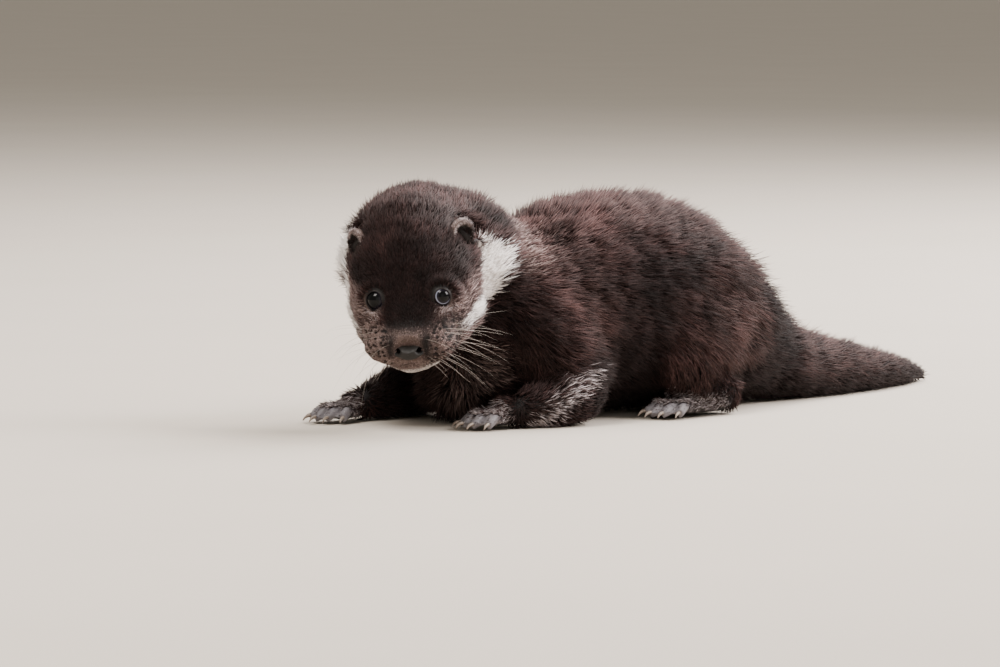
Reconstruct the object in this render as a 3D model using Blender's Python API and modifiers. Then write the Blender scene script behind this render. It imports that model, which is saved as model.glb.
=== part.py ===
"""A Eurasian otter cub, life size, crouching low with its head turned to its left.

The solids give the outline out to the tips of the coat. +X runs from the head to the tail, the
cub's left side faces -Y, +Z is up, and the floor is Z = 0. The body is modelled whole, parted with
thin cuts, and rests on small flats under its feet, forearms, rump and tail.
"""

import math
from dataclasses import dataclass

import bmesh
import bpy
from mathutils import Euler, Matrix, Vector

MM = 0.001
GAP = 0.3 * MM

# Head: its middle, the way it faces, and its size from nape to nose.
HEAD_MIDDLE = Vector((-149, -7.5, 82)) * MM
HEAD_TURN = math.radians(46)  # from straight ahead, towards its own left
HEAD_NOD = math.radians(22.5)  # nose down
HEAD_TILT = math.radians(3.8)  # its left ear higher than its right
EYE_PLACE = Vector((35.0, 16.3, -2.0)) * MM
EYE_RADIUS = 5.6 * MM
EAR_PLACE = Vector((-3.0, 28.3, 15.5)) * MM
EAR_RADII = Vector((4.2, 8.2, 9.4)) * MM
EAR_OPEN = math.radians(44)  # the ear's mouth turns this far out from straight ahead
EAR_LEAN = math.radians(-12)
NOSE_PLACE = Vector((55.5, 0.0, -20.5)) * MM
NOSE_RADII = Vector((5.0, 7.4, 5.6)) * MM

CLAW_RADIUS = 0.95  # millimetres, at the root

# Where the body is parted, in millimetres.
MOUTH_LEVEL = -29.5  # in the head's own frame
LIMB_SLACK = 2.0
FLANK_INNER = 20.0  # a limb's piece reaches in to here from the flank
FLANK_OUTER = 90.0
BLOCK = 0.6  # a half space's side, in metres
# A point on each plane, and the way to the piece it parts off.
AXIS_CUTS = {
    "tail_tip": ((160, 9, 10), (1, 0.25, 0)),
    "tail_base": ((92, 0, 20), (1, 0, 0.1)),
    "head": ((-124, -1, 80), (-1, -0.35, 0.55)),
    "neck": ((-92, 0, 60), (-1, 0, 0.15)),
}

# How finely the body is made.
BODY_VOXEL = 2.0 * MM
FOOT_VOXEL = 0.9 * MM
WHOLE_VOXEL = 1.2 * MM
BODY_TRIANGLES = 2400
CREASE = math.radians(50)
CUTTER_TRIANGLES = 120

COAT_BROWN = (0.052, 0.033, 0.029, 1)
TOE_GREY = (0.10, 0.085, 0.085, 1)
NOSE_BLACK = (0.012, 0.011, 0.012, 1)
EYE_BROWN = (0.010, 0.007, 0.006, 1)
CLAW_HORN = (0.30, 0.23, 0.18, 1)


@dataclass
class Section:
    """One ring of a loft: its middle in millimetres, and how far it reaches to each side, up and down."""

    middle: tuple
    side: float
    up: float
    down: float
    squareness: float = 2.0


def clear_scene():
    for thing in list(bpy.data.objects):
        bpy.data.objects.remove(thing)


def make_material(name, colour, roughness):
    material = bpy.data.materials.new(name)
    material.use_nodes = True
    shader = material.node_tree.nodes["Principled BSDF"]
    shader.inputs["Base Color"].default_value = colour
    shader.inputs["Roughness"].default_value = roughness
    return material


def make_collection(name):
    collection = bpy.data.collections.new(name)
    bpy.context.scene.collection.children.link(collection)
    return collection


def object_from(bm, name, collection):
    """A new object from a bmesh, which is freed."""
    bmesh.ops.recalc_face_normals(bm, faces=bm.faces)
    mesh = bpy.data.meshes.new(name)
    bm.to_mesh(mesh)
    bm.free()
    thing = bpy.data.objects.new(name, mesh)
    collection.objects.link(thing)
    return thing


def head_matrix():
    """From the head's own frame (X to the nose, Y to its left, Z to the crown) to the world."""
    turn = Matrix.Rotation(math.pi + HEAD_TURN, 4, "Z")
    nod = Matrix.Rotation(HEAD_NOD, 4, "Y")
    tilt = Matrix.Rotation(HEAD_TILT, 4, "X")
    return Matrix.Translation(HEAD_MIDDLE) @ turn @ nod @ tilt


def smooth_value(values, t):
    """Catmull-Rom value between evenly numbered values."""
    last = len(values) - 1
    k = min(int(t), last - 1)
    u = t - k
    a = values[max(k - 1, 0)]
    b, c = values[k], values[k + 1]
    d = values[min(k + 2, last)]
    square = 2 * a - 5 * b + 4 * c - d
    cube = 3 * b - a - 3 * c + d
    return 0.5 * (2 * b + (c - a) * u + square * u**2 + cube * u**3)


def bent_power(value, power):
    return math.copysign(abs(value) ** power, value)


def loft(bm, sections, follow=False, grow=0.0, sides=28, spans=6):
    """A closed tube through the sections, with so many smoothed spans between two, added to a bmesh.

    Its rings stand square to X, or, where it follows its path, square to the path with their sides on Y.
    """
    middles = [Vector(s.middle) * MM for s in sections]
    steps = (len(sections) - 1) * spans
    path = [smooth_value(middles, i / spans) for i in range(steps + 1)]
    rings = []
    for i, middle in enumerate(path):
        t = i / spans
        side, up = Vector((0, 1, 0)), Vector((0, 0, 1))
        if follow:
            along = (path[min(i + 1, steps)] - path[max(i - 1, 0)]).normalized()
            side = (along * along.y - side).normalized()
            up = along.cross(side)
        reach = {
            part: max(smooth_value([getattr(s, part) for s in sections], t), 0.3) * MM + grow
            for part in ("side", "up", "down")
        }
        power = 2 / smooth_value([s.squareness for s in sections], t)
        ring = []
        for k in range(sides):
            angle = math.tau * k / sides
            across = bent_power(math.cos(angle), power) * reach["side"]
            high = bent_power(math.sin(angle), power)
            high *= reach["up"] if high > 0 else reach["down"]
            ring.append(bm.verts.new(middle + side * across + up * high))
        rings.append(ring)
    for low, high in zip(rings, rings[1:]):
        for k in range(sides):
            after = (k + 1) % sides
            bm.faces.new((low[k], low[after], high[after], high[k]))
    bm.faces.new(rings[0])
    bm.faces.new(reversed(rings[-1]))


def ball(bm, middle, radii, segments=20, rings=12):
    """A stretched sphere, added to a bmesh. Sizes are in metres."""
    place = Matrix.Translation(middle) @ Matrix.Diagonal((*radii, 1))
    bmesh.ops.create_uvsphere(bm, u_segments=segments, v_segments=rings, radius=1, matrix=place)


def evaluated_mesh(thing):
    graph = bpy.context.evaluated_depsgraph_get()
    return bpy.data.meshes.new_from_object(thing.evaluated_get(graph), depsgraph=graph)


def apply_modifiers(thing):
    mesh = evaluated_mesh(thing)
    thing.modifiers.clear()
    thing.data = mesh
    return thing


def count_triangles(mesh):
    return sum(len(face.vertices) - 2 for face in mesh.polygons)


def fuse(thing, voxel, smoothing):
    """Joins the object's overlapping forms into one skin and smooths it."""
    remesh = thing.modifiers.new("Fuse", "REMESH")
    remesh.mode = "VOXEL"
    remesh.voxel_size = voxel
    soften = thing.modifiers.new("Soften", "SMOOTH")
    soften.factor = 0.5
    soften.iterations = smoothing
    return apply_modifiers(thing)


def thin_out(thing, triangles):
    """Thins the object's mesh to about that many triangles."""
    thin = thing.modifiers.new("Thin", "DECIMATE")
    thin.ratio = min(1.0, triangles / count_triangles(thing.data))
    return apply_modifiers(thing)


def carve(thing, cutter, operation):
    """Applies one Boolean to the object and keeps its largest piece."""
    cut = thing.modifiers.new("Carve", "BOOLEAN")
    cut.operation = operation
    cut.solver = "EXACT"
    cut.object = cutter
    apply_modifiers(thing)
    bm = bmesh.new()
    bm.from_mesh(thing.data)
    bmesh.ops.triangulate(bm, faces=bm.faces)
    bmesh.ops.dissolve_degenerate(bm, dist=0.02 * MM, edges=bm.edges)
    bmesh.ops.triangulate(bm, faces=bm.faces)
    keep_largest(bm)
    bm.to_mesh(thing.data)
    bm.free()
    return thing


def keep_largest(bm):
    """Removes every connected piece of the bmesh but the one with most vertices."""
    unseen = set(bm.verts)
    pieces = []
    while unseen:
        piece = set()
        queue = [unseen.pop()]
        while queue:
            vert = queue.pop()
            piece.add(vert)
            for edge in vert.link_edges:
                other = edge.other_vert(vert)
                if other in unseen:
                    unseen.remove(other)
                    queue.append(other)
        pieces.append(piece)
    pieces.sort(key=len)
    for piece in pieces[:-1]:
        bmesh.ops.delete(bm, geom=list(piece), context="VERTS")


def copy_of(thing, name):
    made = thing.copy()
    made.data = thing.data.copy()
    made.name = name
    thing.users_collection[0].objects.link(made)
    return made


# ---------------------------------------------------------------------------------------------
# The forms of the body
# ---------------------------------------------------------------------------------------------


def trunk_sections():
    """(x, lowest, highest, half width) from the base of the neck to the rump, in millimetres."""
    profile = [
        (-132, 14, 58, 12),
        (-124, 4, 77, 25),
        (-108, 2, 94, 36),
        (-84, 4, 104.5, 43),
        (-56, 3, 111, 48),
        (-26, 2, 114.5, 51),
        (2, 2, 112, 52),
        (26, 2, 105, 49),
        (47, 2, 92.5, 43),
        (65, 2, 75, 35),
        (83, 1, 54, 26),
        (104, 0, 38, 20),
    ]
    made = []
    for x, low, high, side in profile:
        middle = low + 0.46 * (high - low)
        made.append(Section((x, 0, middle), side, high - middle, middle - low, 2.15))
    return made


def tail_sections():
    """From inside the rump to the tip, lying on the floor and curving gently to the cub's right."""
    profile = [
        (78, 0, 0, 52, 26),
        (98, 1, -1, 41, 21),
        (124, 3, -1, 33, 17.5),
        (152, 8, -1, 27, 14.5),
        (180, 15, -1, 21, 11.5),
        (206, 24, -1, 15, 8.5),
        (226, 33, -0.5, 9, 4.5),
        (233, 37, 1, 6, 2),
    ]
    return [
        Section((x, y, (low + high) / 2), side, (high - low) / 2, (high - low) / 2)
        for x, y, low, high, side in profile
    ]


def neck_sections():
    return [
        Section((-150, -4, 84), 22, 22, 22),
        Section((-133, 2, 81), 32, 32, 35),
        Section((-116, 2, 74), 39, 44, 46),
        Section((-98, 1, 66), 43, 46, 50),
        Section((-76, 0, 61), 44, 41, 50),
    ]


def head_sections():
    """In the head's own frame: (x, lowest, level of the widest, highest, half width)."""
    profile = [
        (-48, -12, 4, 16, 12),
        (-42, -26, 1, 26, 26),
        (-29, -35, -3, 33, 37),
        (-13, -37.5, -5, 37, 37.5),
        (2, -38, -7, 38.5, 35.5),
        (14, -38, -9, 35, 33.5),
        (24, -38, -12, 27, 31),
        (32, -37.5, -16, 15, 28.5),
        (39, -37, -19, 1, 25),
        (46, -36, -21, -8, 21),
        (52, -33, -22.5, -13, 15.5),
        (56, -28, -22.5, -17, 8),
    ]
    return [
        Section((x, 0, wide), side, high - wide, wide - low, 1.85)
        for x, low, wide, high, side in profile
    ]


def left_foreleg_sections():
    """Shoulder, elbow on the floor, forearm and wrist."""
    return [
        Section((-86, -20, 58), 26, 30, 26),
        Section((-84, -34, 44), 22, 25, 23),
        Section((-79, -46, 21), 16, 17, 20),
        Section((-93, -48, 13), 13.5, 13, 13.5),
        Section((-108, -43, 10), 10.5, 10.5, 11),
        Section((-122, -40, 8), 9, 7, 8.5),
    ]


def right_foreleg_sections():
    """Shoulder, elbow on the floor, and the forearm reaching further ahead."""
    return [
        Section((-86, 20, 58), 26, 30, 26),
        Section((-96, 33, 44), 21, 23, 22),
        Section((-107, 41, 20), 16, 18, 20),
        Section((-124, 41, 13.5), 14, 14, 14),
        Section((-142, 39, 10.5), 11.5, 10.5, 11),
        Section((-157, 37, 8), 9, 7, 8.5),
    ]


def hind_leg_sections(side, shift):
    """The thigh, the shank folded under it, and the heel. side is -1 on the cub's left."""
    return [
        Section((shift + 42, side * 18, 56), 26, 32, 32),
        Section((shift + 22, side * 33, 46), 22, 28, 29),
        Section((shift + 3, side * 44, 30), 16, 19, 19),
        Section((shift + 8, side * 46, 15), 13, 13, 13),
        Section((shift + 26, side * 46, 11), 10.5, 10.5, 11),
        Section((shift + 33, side * 46, 9), 7.5, 8, 9.5),
    ]


@dataclass
class Foot:
    """A foot on the floor: its heel or wrist and the way it points, then its measures, in millimetres."""

    name: str
    place: tuple
    heading: float
    sole: float
    width: float
    height: float
    toe: float
    toe_radius: float
    spread: float

    def matrix(self):
        """From the foot's frame (X to the toes, Y to its left) to the world."""
        place = Matrix.Translation(Vector((*self.place, 0)) * MM)
        return place @ Matrix.Rotation(math.radians(180 + self.heading), 4, "Z")

    def toes(self):
        """(base, fan angle, length) of each of the five toes, the middle one longest."""
        for k in range(-2, 3):
            length = self.toe * (1 - 0.055 * k * k)
            base = Vector((self.sole - 0.9 * k * k, k * self.width / 5.6, self.height * 0.52))
            yield base, math.radians(k * self.spread), length

    def toe_sections(self, base, fan, length):
        """One toe: it rises over its knuckle and comes down to a rounded tip."""
        ahead = Vector((math.cos(fan), math.sin(fan), 0))
        r = self.toe_radius
        steps = [(-0.25, base.z, 1.0), (0.15, base.z + 0.6, 1.0), (0.5, base.z, 0.95)]
        steps += [(0.85, r + 0.3, 0.95), (1.0, r - 0.1, 0.62)]
        return [
            Section((*(base + ahead * length * along).xy, z), r * size, r * size, r * size)
            for along, z, size in steps
        ]

    def claw_sections(self, base, fan, length):
        """One claw, from inside the toe's tip, curving down."""
        ahead = Vector((math.cos(fan), math.sin(fan), 0))
        r = self.toe_radius
        steps = [(-2.2, r + 0.9, 1.0), (0.2, r + 0.9, 1.0)]
        steps += [(1.9, r + 0.1, 0.72), (3.0, r - 1.5, 0.34)]
        thickness = [CLAW_RADIUS * size for _, _, size in steps]
        return [
            Section((*(base + ahead * (length + along)).xy, z), radius, radius, radius)
            for (along, z, _), radius in zip(steps, thickness)
        ]

    def form(self, bm):
        """Palm and toes, added to a bmesh in world space."""
        made = bmesh.new()
        thick, wide = self.height, self.width
        sections = [
            Section((-5, 0, thick * 0.62), wide * 0.30, thick * 0.5, thick * 0.62),
            Section((self.sole * 0.3, 0, thick * 0.56), wide * 0.38, thick * 0.5, thick * 0.6),
            Section((self.sole * 0.7, 0, thick * 0.5), wide * 0.47, thick * 0.44, thick * 0.54),
            Section((self.sole + 2, 0, thick * 0.42), wide * 0.46, thick * 0.3, thick * 0.42),
        ]
        loft(made, sections, sides=16)
        for base, fan, length in self.toes():
            loft(made, self.toe_sections(base, fan, length), follow=True, sides=10)
        add_moved(bm, made, self.matrix())

    def region(self, bm, grow):
        """Room round the foot from its wrist or heel forward, low over the toes."""
        made = bmesh.new()
        back = -grow / MM
        reaches = [(back, 0.42, 0.62), (self.sole * 0.6, 0.56, 0.62), (self.sole + self.toe + 9, 0.9, 0.5)]
        sections = [
            Section((x, 0, self.height * 0.5), self.width * side, self.height * up + 1.5, self.height, 3)
            for x, side, up in reaches
        ]
        loft(made, sections, grow=grow, sides=20, spans=2)
        add_moved(bm, made, self.matrix())


def feet():
    fore = {"sole": 13, "width": 21, "height": 12, "toe": 15, "toe_radius": 2.9, "spread": 13}
    hind = {"sole": 34, "width": 22, "height": 12, "toe": 18, "toe_radius": 3.0, "spread": 10}
    return [
        Foot("forepaw_left", (-116, -41), -8, **fore),
        Foot("forepaw_right", (-153, 37.5), 4, **fore),
        Foot("hindfoot_left", (19, -47), 3, **hind),
        Foot("hindfoot_right", (43, 47), -3, **hind),
    ]


def add_moved(bm, made, matrix):
    """Adds one bmesh to another through a matrix, and frees it."""
    bmesh.ops.transform(made, matrix=matrix, verts=made.verts)
    mesh = bpy.data.meshes.new("moved")
    made.to_mesh(mesh)
    made.free()
    bm.from_mesh(mesh)
    bpy.data.meshes.remove(mesh)


def head_form(bm):
    """The skull's loft, the ruff behind the cheeks, the cheeks, the whisker pads and the chin."""
    made = bmesh.new()
    loft(made, head_sections())
    for side in (-1, 1):
        ball(made, Vector((-24, side * 26, -10)) * MM, Vector((17, 17, 20)) * MM)
        ball(made, Vector((8, side * 22, -17)) * MM, Vector((22, 13.5, 17)) * MM)
        ball(made, Vector((27, side * 17, -19.5)) * MM, Vector((16, 12.5, 13)) * MM)
        ball(made, Vector((43, side * 12, -22.5)) * MM, Vector((12, 12.5, 10)) * MM)
    ball(made, Vector((38, 0, -33)) * MM, Vector((14, 13, 6)) * MM)
    add_moved(bm, made, head_matrix())


def body_form(collection):
    """Trunk, neck, head, tail, legs and feet as one skin, trimmed flat at the floor."""
    bm = bmesh.new()
    loft(bm, trunk_sections())
    loft(bm, tail_sections())
    loft(bm, neck_sections())
    loft(bm, left_foreleg_sections(), follow=True)
    loft(bm, right_foreleg_sections(), follow=True)
    loft(bm, hind_leg_sections(-1, -6), follow=True)
    loft(bm, hind_leg_sections(1, 16), follow=True)
    head_form(bm)
    body = fuse(object_from(bm, "body", collection), BODY_VOXEL, 9)
    bm = bmesh.new()
    for foot in feet():
        foot.form(bm)
    paws = fuse(object_from(bm, "paws", collection), FOOT_VOXEL, 3)
    bm = bmesh.new()
    bm.from_mesh(body.data)
    bm.from_mesh(paws.data)
    bpy.data.objects.remove(body)
    bpy.data.objects.remove(paws)
    whole = fuse(object_from(bm, "whole", collection), WHOLE_VOXEL, 2)
    thin_out(whole, BODY_TRIANGLES)
    floor = cutter("floor", lambda made, grow: half_space(made, (0, 0, 0), (0, 0, -1), grow), 0)
    return carve(whole, floor, "DIFFERENCE")


# ---------------------------------------------------------------------------------------------
# Parting it into named pieces
# ---------------------------------------------------------------------------------------------


def half_space(bm, point, normal, grow):
    """A large block on the side of a plane that its normal points to. Millimetres."""
    turn = Vector(normal).to_track_quat("Z", "Y").to_matrix().to_4x4()
    place = Matrix.Translation(Vector(point) * MM) @ turn @ Matrix.Translation((0, 0, BLOCK / 2 - grow))
    bmesh.ops.create_cube(bm, size=BLOCK, matrix=place)


def cutter(name, build, grow):
    """A cutting solid in the cutters' collection, left out of renders."""
    bm = bmesh.new()
    build(bm, grow)
    made = object_from(bm, "cut_" + name, bpy.data.collections["cutters"])
    made.hide_render = True
    made.display_type = "WIRE"
    return made


def part_off(body, name, build):
    """Makes a new piece of what lies inside a region, and leaves a thin gap round it."""
    piece = copy_of(body, name)
    carve(piece, cutter(name, build, 0), "INTERSECT")
    carve(body, cutter(name + "_gap", build, GAP), "DIFFERENCE")
    return piece


def part_off_limb(body, name, sections, side):
    """Parts off a limb by its outline from the side, swept out through the flank."""
    middle, reach = side * (FLANK_OUTER + FLANK_INNER) / 2, (FLANK_OUTER - FLANK_INNER) / 2
    root, after = Vector(sections[0].middle), Vector(sections[1].middle)
    cap = root + (root - after).normalized() * sections[0].up * 0.7
    swept = [Section((cap.x, middle, cap.z), reach, sections[0].up * 0.5, sections[0].down * 0.5, 6)]
    swept += [
        Section((s.middle[0], middle, s.middle[2]), reach, s.up + LIMB_SLACK, s.down + LIMB_SLACK, 6)
        for s in sections
    ]
    region = cutter(name, lambda bm, _: loft(bm, swept, follow=True), 0)
    thin_out(fuse(region, BODY_VOXEL, 2), CUTTER_TRIANGLES)
    return part_off_region(body, name, region)


def part_off_region(body, name, region):
    """Makes a new piece of what lies inside a closed form, and leaves a thin gap round it."""
    piece = carve(copy_of(body, name), region, "INTERSECT")
    swell = region.modifiers.new("Swell", "DISPLACE")
    swell.strength = GAP
    swell.mid_level = 0
    carve(body, region, "DIFFERENCE")
    return piece


def plane_region(point, normal):
    return lambda bm, grow: half_space(bm, point, normal, grow)


def jaw_region(bm, grow):
    """Under the mouth's line, back to its corners."""
    made = bmesh.new()
    low = Vector((16, -19, -48)) * MM - Vector((grow, grow, grow))
    high = Vector((70, 19, MOUTH_LEVEL)) * MM + Vector((grow, grow, grow))
    box = Matrix.Translation((low + high) / 2) @ Matrix.Diagonal((*(high - low), 1))
    bmesh.ops.create_cube(made, size=1, matrix=box)
    add_moved(bm, made, head_matrix())


def eye_ball(side, grow=0.0):
    place = Vector((EYE_PLACE.x, side * EYE_PLACE.y, EYE_PLACE.z))
    radii = Vector((EYE_RADIUS, EYE_RADIUS, EYE_RADIUS)) + Vector((grow, grow, grow))

    def build(bm, _=0):
        ball(bm, head_matrix() @ place, radii, segments=12, rings=8)

    return build


def nose_pad(grow=0.0):
    def build(bm, _=0):
        made = bmesh.new()
        ball(made, NOSE_PLACE, NOSE_RADII + Vector((grow, grow, grow)), segments=14, rings=8)
        add_moved(bm, made, head_matrix())

    return build


def ear_matrix(side):
    """From the ear's frame (X out of its mouth, Z to its top) to the world."""
    place = Vector((EAR_PLACE.x, side * EAR_PLACE.y, EAR_PLACE.z))
    turn = Euler((side * EAR_LEAN, 0, side * EAR_OPEN)).to_matrix().to_4x4()
    return head_matrix() @ Matrix.Translation(place) @ turn


def ear_shell(side, grow=0.0):
    def build(bm, _=0):
        made = bmesh.new()
        ball(made, Vector(), EAR_RADII + Vector((grow, grow, grow)), segments=12, rings=7)
        add_moved(bm, made, ear_matrix(side))

    return build


def ear_dish(side):
    def build(bm, _=0):
        made = bmesh.new()
        hollow = Vector((EAR_RADII.x * 0.9, EAR_RADII.y * 0.68, EAR_RADII.z * 0.68))
        ball(made, Vector((EAR_RADII.x * 0.85, 0, 0)), hollow, segments=10, rings=6)
        add_moved(bm, made, ear_matrix(side))

    return build


def new_piece(name, build, collection):
    bm = bmesh.new()
    build(bm)
    return object_from(bm, name, collection)


def add_claws(foot, paw, collection):
    """Seats five claws in a foot, each a piece of its own."""
    claws = []
    for number, (base, fan, length) in enumerate(foot.toes(), 1):
        sections = foot.claw_sections(base, fan, length)

        def build(bm, grow=0.0, sections=sections):
            made = bmesh.new()
            loft(made, sections, follow=True, grow=grow, sides=6, spans=1)
            add_moved(bm, made, foot.matrix())

        name = f"claw_{foot.name.replace('paw', '').replace('foot', '')}_{number}"
        carve(paw, cutter(name, build, GAP), "DIFFERENCE")
        claws.append(new_piece(name, build, collection))
    return claws


def dress(things, material):
    for thing in things:
        thing.data.materials.clear()
        thing.data.materials.append(material)
        thing.data.shade_smooth()
        thing.data.set_sharp_from_angle(angle=CREASE)


def centre_on_floor(things):
    """Moves every piece so that the origin is under the middle of them all, on the floor."""
    corners = [thing.matrix_world @ vert.co for thing in things for vert in thing.data.vertices]
    low = Vector(min(c[k] for c in corners) for k in range(3))
    high = Vector(max(c[k] for c in corners) for k in range(3))
    shift = Matrix.Translation(-Vector(((low.x + high.x) / 2, (low.y + high.y) / 2, low.z)))
    for thing in things:
        thing.data.transform(shift)


def main():
    clear_scene()
    otter = make_collection("eurasian_otter_cub")
    make_collection("cutters").hide_render = True
    trunk = body_form(otter)
    trunk.name = "trunk"
    coat, claws = [trunk], []
    paws = {foot.name: (foot, part_off(trunk, foot.name, foot.region)) for foot in feet()}
    limbs = {
        "foreleg_left": (left_foreleg_sections(), -1),
        "foreleg_right": (right_foreleg_sections(), 1),
        "hindleg_left": (hind_leg_sections(-1, -6), -1),
        "hindleg_right": (hind_leg_sections(1, 16), 1),
    }
    coat += [part_off_limb(trunk, name, *limb) for name, limb in limbs.items()]
    coat += [part_off(trunk, name, plane_region(*cut)) for name, cut in AXIS_CUTS.items()]
    head = next(piece for piece in coat if piece.name == "head")
    coat.append(part_off(head, "lower_jaw", jaw_region))
    eyes, ears = [], []
    for word, side in (("left", 1), ("right", -1)):
        carve(head, cutter("socket_" + word, eye_ball(side, GAP), 0), "DIFFERENCE")
        eyes.append(new_piece("eye_" + word, eye_ball(side), otter))
        carve(head, cutter("ear_seat_" + word, ear_shell(side, GAP), 0), "DIFFERENCE")
        ear = new_piece("ear_" + word, ear_shell(side), otter)
        ears.append(carve(ear, cutter("ear_dish_" + word, ear_dish(side), 0), "DIFFERENCE"))
    carve(head, cutter("nose_seat", nose_pad(GAP), 0), "DIFFERENCE")
    nose = new_piece("nose", nose_pad(), otter)
    for foot, paw in paws.values():
        claws += add_claws(foot, paw, otter)
    feet_made = [paw for _, paw in paws.values()]
    dress(coat + ears, make_material("coat", COAT_BROWN, 0.8))
    dress(feet_made, make_material("foot_skin", TOE_GREY, 0.6))
    dress([nose], make_material("nose_leather", NOSE_BLACK, 0.35))
    dress(eyes, make_material("eye", EYE_BROWN, 0.05))
    dress(claws, make_material("claw_horn", CLAW_HORN, 0.4))
    centre_on_floor(coat + ears + feet_made + [nose] + eyes + claws)


main()
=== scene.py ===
import logging
import math
from dataclasses import dataclass, field, fields
from enum import Enum

import bmesh
import bpy
import numpy as np
from bpy.types import Material, Mesh, Node, NodeSocket, NodeTree, Object
from mathutils import Matrix, Vector
from mathutils.bvhtree import BVHTree


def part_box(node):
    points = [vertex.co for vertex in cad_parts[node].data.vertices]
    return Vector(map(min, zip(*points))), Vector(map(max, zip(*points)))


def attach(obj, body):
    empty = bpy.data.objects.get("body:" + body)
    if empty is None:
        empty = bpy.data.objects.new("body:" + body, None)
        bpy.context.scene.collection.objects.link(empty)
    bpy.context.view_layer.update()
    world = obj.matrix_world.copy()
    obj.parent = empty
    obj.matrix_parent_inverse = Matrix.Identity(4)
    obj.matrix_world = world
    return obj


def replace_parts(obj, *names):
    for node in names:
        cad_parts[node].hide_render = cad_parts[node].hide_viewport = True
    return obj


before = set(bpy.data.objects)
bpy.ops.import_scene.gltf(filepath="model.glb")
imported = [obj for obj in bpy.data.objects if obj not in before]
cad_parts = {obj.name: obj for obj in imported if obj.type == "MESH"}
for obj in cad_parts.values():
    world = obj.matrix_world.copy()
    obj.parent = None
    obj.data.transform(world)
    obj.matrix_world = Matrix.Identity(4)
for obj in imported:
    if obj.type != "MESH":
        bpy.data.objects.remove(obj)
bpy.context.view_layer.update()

Array = np.ndarray
MM = 0.001
WELD = 0.01 * MM
BODY = "root"
BAKE_MAP = "OFBake"
# Turns the noise's cells, so that they do not line up with the body.
TILT = np.array(Matrix.Rotation(0.7, 3, "X") @ Matrix.Rotation(0.5, 3, "Y") @ Matrix.Rotation(0.9, 3, "Z"))
log = logging.getLogger("otter_cub")


# ---- Numbers and arrays ----


def unit(vectors: Array) -> Array:
    """The vectors along the last axis, each made one long."""
    return vectors / np.maximum(np.linalg.norm(vectors, axis=-1, keepdims=True), 1e-12)


def ramp(values: Array, start: float, end: float) -> Array:
    """A smooth step: 0 up to start, 1 from end on. It falls where end is less than start."""
    t = np.clip((values - start) / (end - start), 0.0, 1.0)
    return t * t * (3.0 - 2.0 * t)


def bell(values: Array, middle: float, reach: float) -> Array:
    """A bell curve, 1 at its middle."""
    return np.exp(-(((values - middle) / reach) ** 2))


def mix(low: Array | float, high: Array | float, share: Array) -> Array:
    """The value between low and high."""
    return low + (high - low) * share


def hashed(cells: Array, seed: int) -> Array:
    """A steady pseudo-random number from 0 to 1 for each whole-numbered cell.

    Args:
        cells: Whole numbers, three to a cell.
        seed: Which set of numbers to give.

    Returns:
        One number per cell.
    """
    x, y, z = (cells[..., k].astype(np.uint32) for k in range(3))
    h = x * np.uint32(374761393) + y * np.uint32(668265263) + z * np.uint32(2147483647)
    h = h + np.uint32(seed * 974634777 & 0xFFFFFFFF)
    h = (h ^ (h >> np.uint32(13))) * np.uint32(1274126177)
    h = (h ^ (h >> np.uint32(16))) * np.uint32(2246822519)
    return (h ^ (h >> np.uint32(15))).astype(np.float64) / 4294967295.0


def drift(points: Array, size: float, seed: int) -> Array:
    """Soft noise from -1 to 1 that changes over about one size.

    Args:
        points: Places, in the unit of size.
        size: How far apart its highs and lows are.
        seed: Which noise to give.

    Returns:
        One number per point.
    """
    place = points @ TILT / size
    cell = np.floor(place).astype(np.int64)
    part = place - cell
    part = part * part * (3.0 - 2.0 * part)
    total = np.zeros(len(points))
    for corner in np.ndindex(2, 2, 2):
        share = np.prod([part[:, k] if corner[k] else 1.0 - part[:, k] for k in range(3)], axis=0)
        total += share * hashed(cell + np.array(corner), seed)
    return total * 2.0 - 1.0


def speckle(points: Array, size: float, seed: int) -> Array:
    """Distance to the nearest of many scattered dots, in shares of their spacing.

    Args:
        points: Places, in the unit of size.
        size: The dots' spacing.
        seed: Which dots.

    Returns:
        One number per point, 0 on a dot.
    """
    place = points / size
    cell = np.floor(place).astype(np.int64)
    nearest = np.full(len(points), 9.0)
    for corner in np.ndindex(3, 3, 3):
        other = cell + np.array(corner) - 1
        dot = other + np.stack([hashed(other, seed + k) for k in range(3)], axis=-1)
        nearest = np.minimum(nearest, np.linalg.norm(dot - place, axis=-1))
    return nearest


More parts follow.
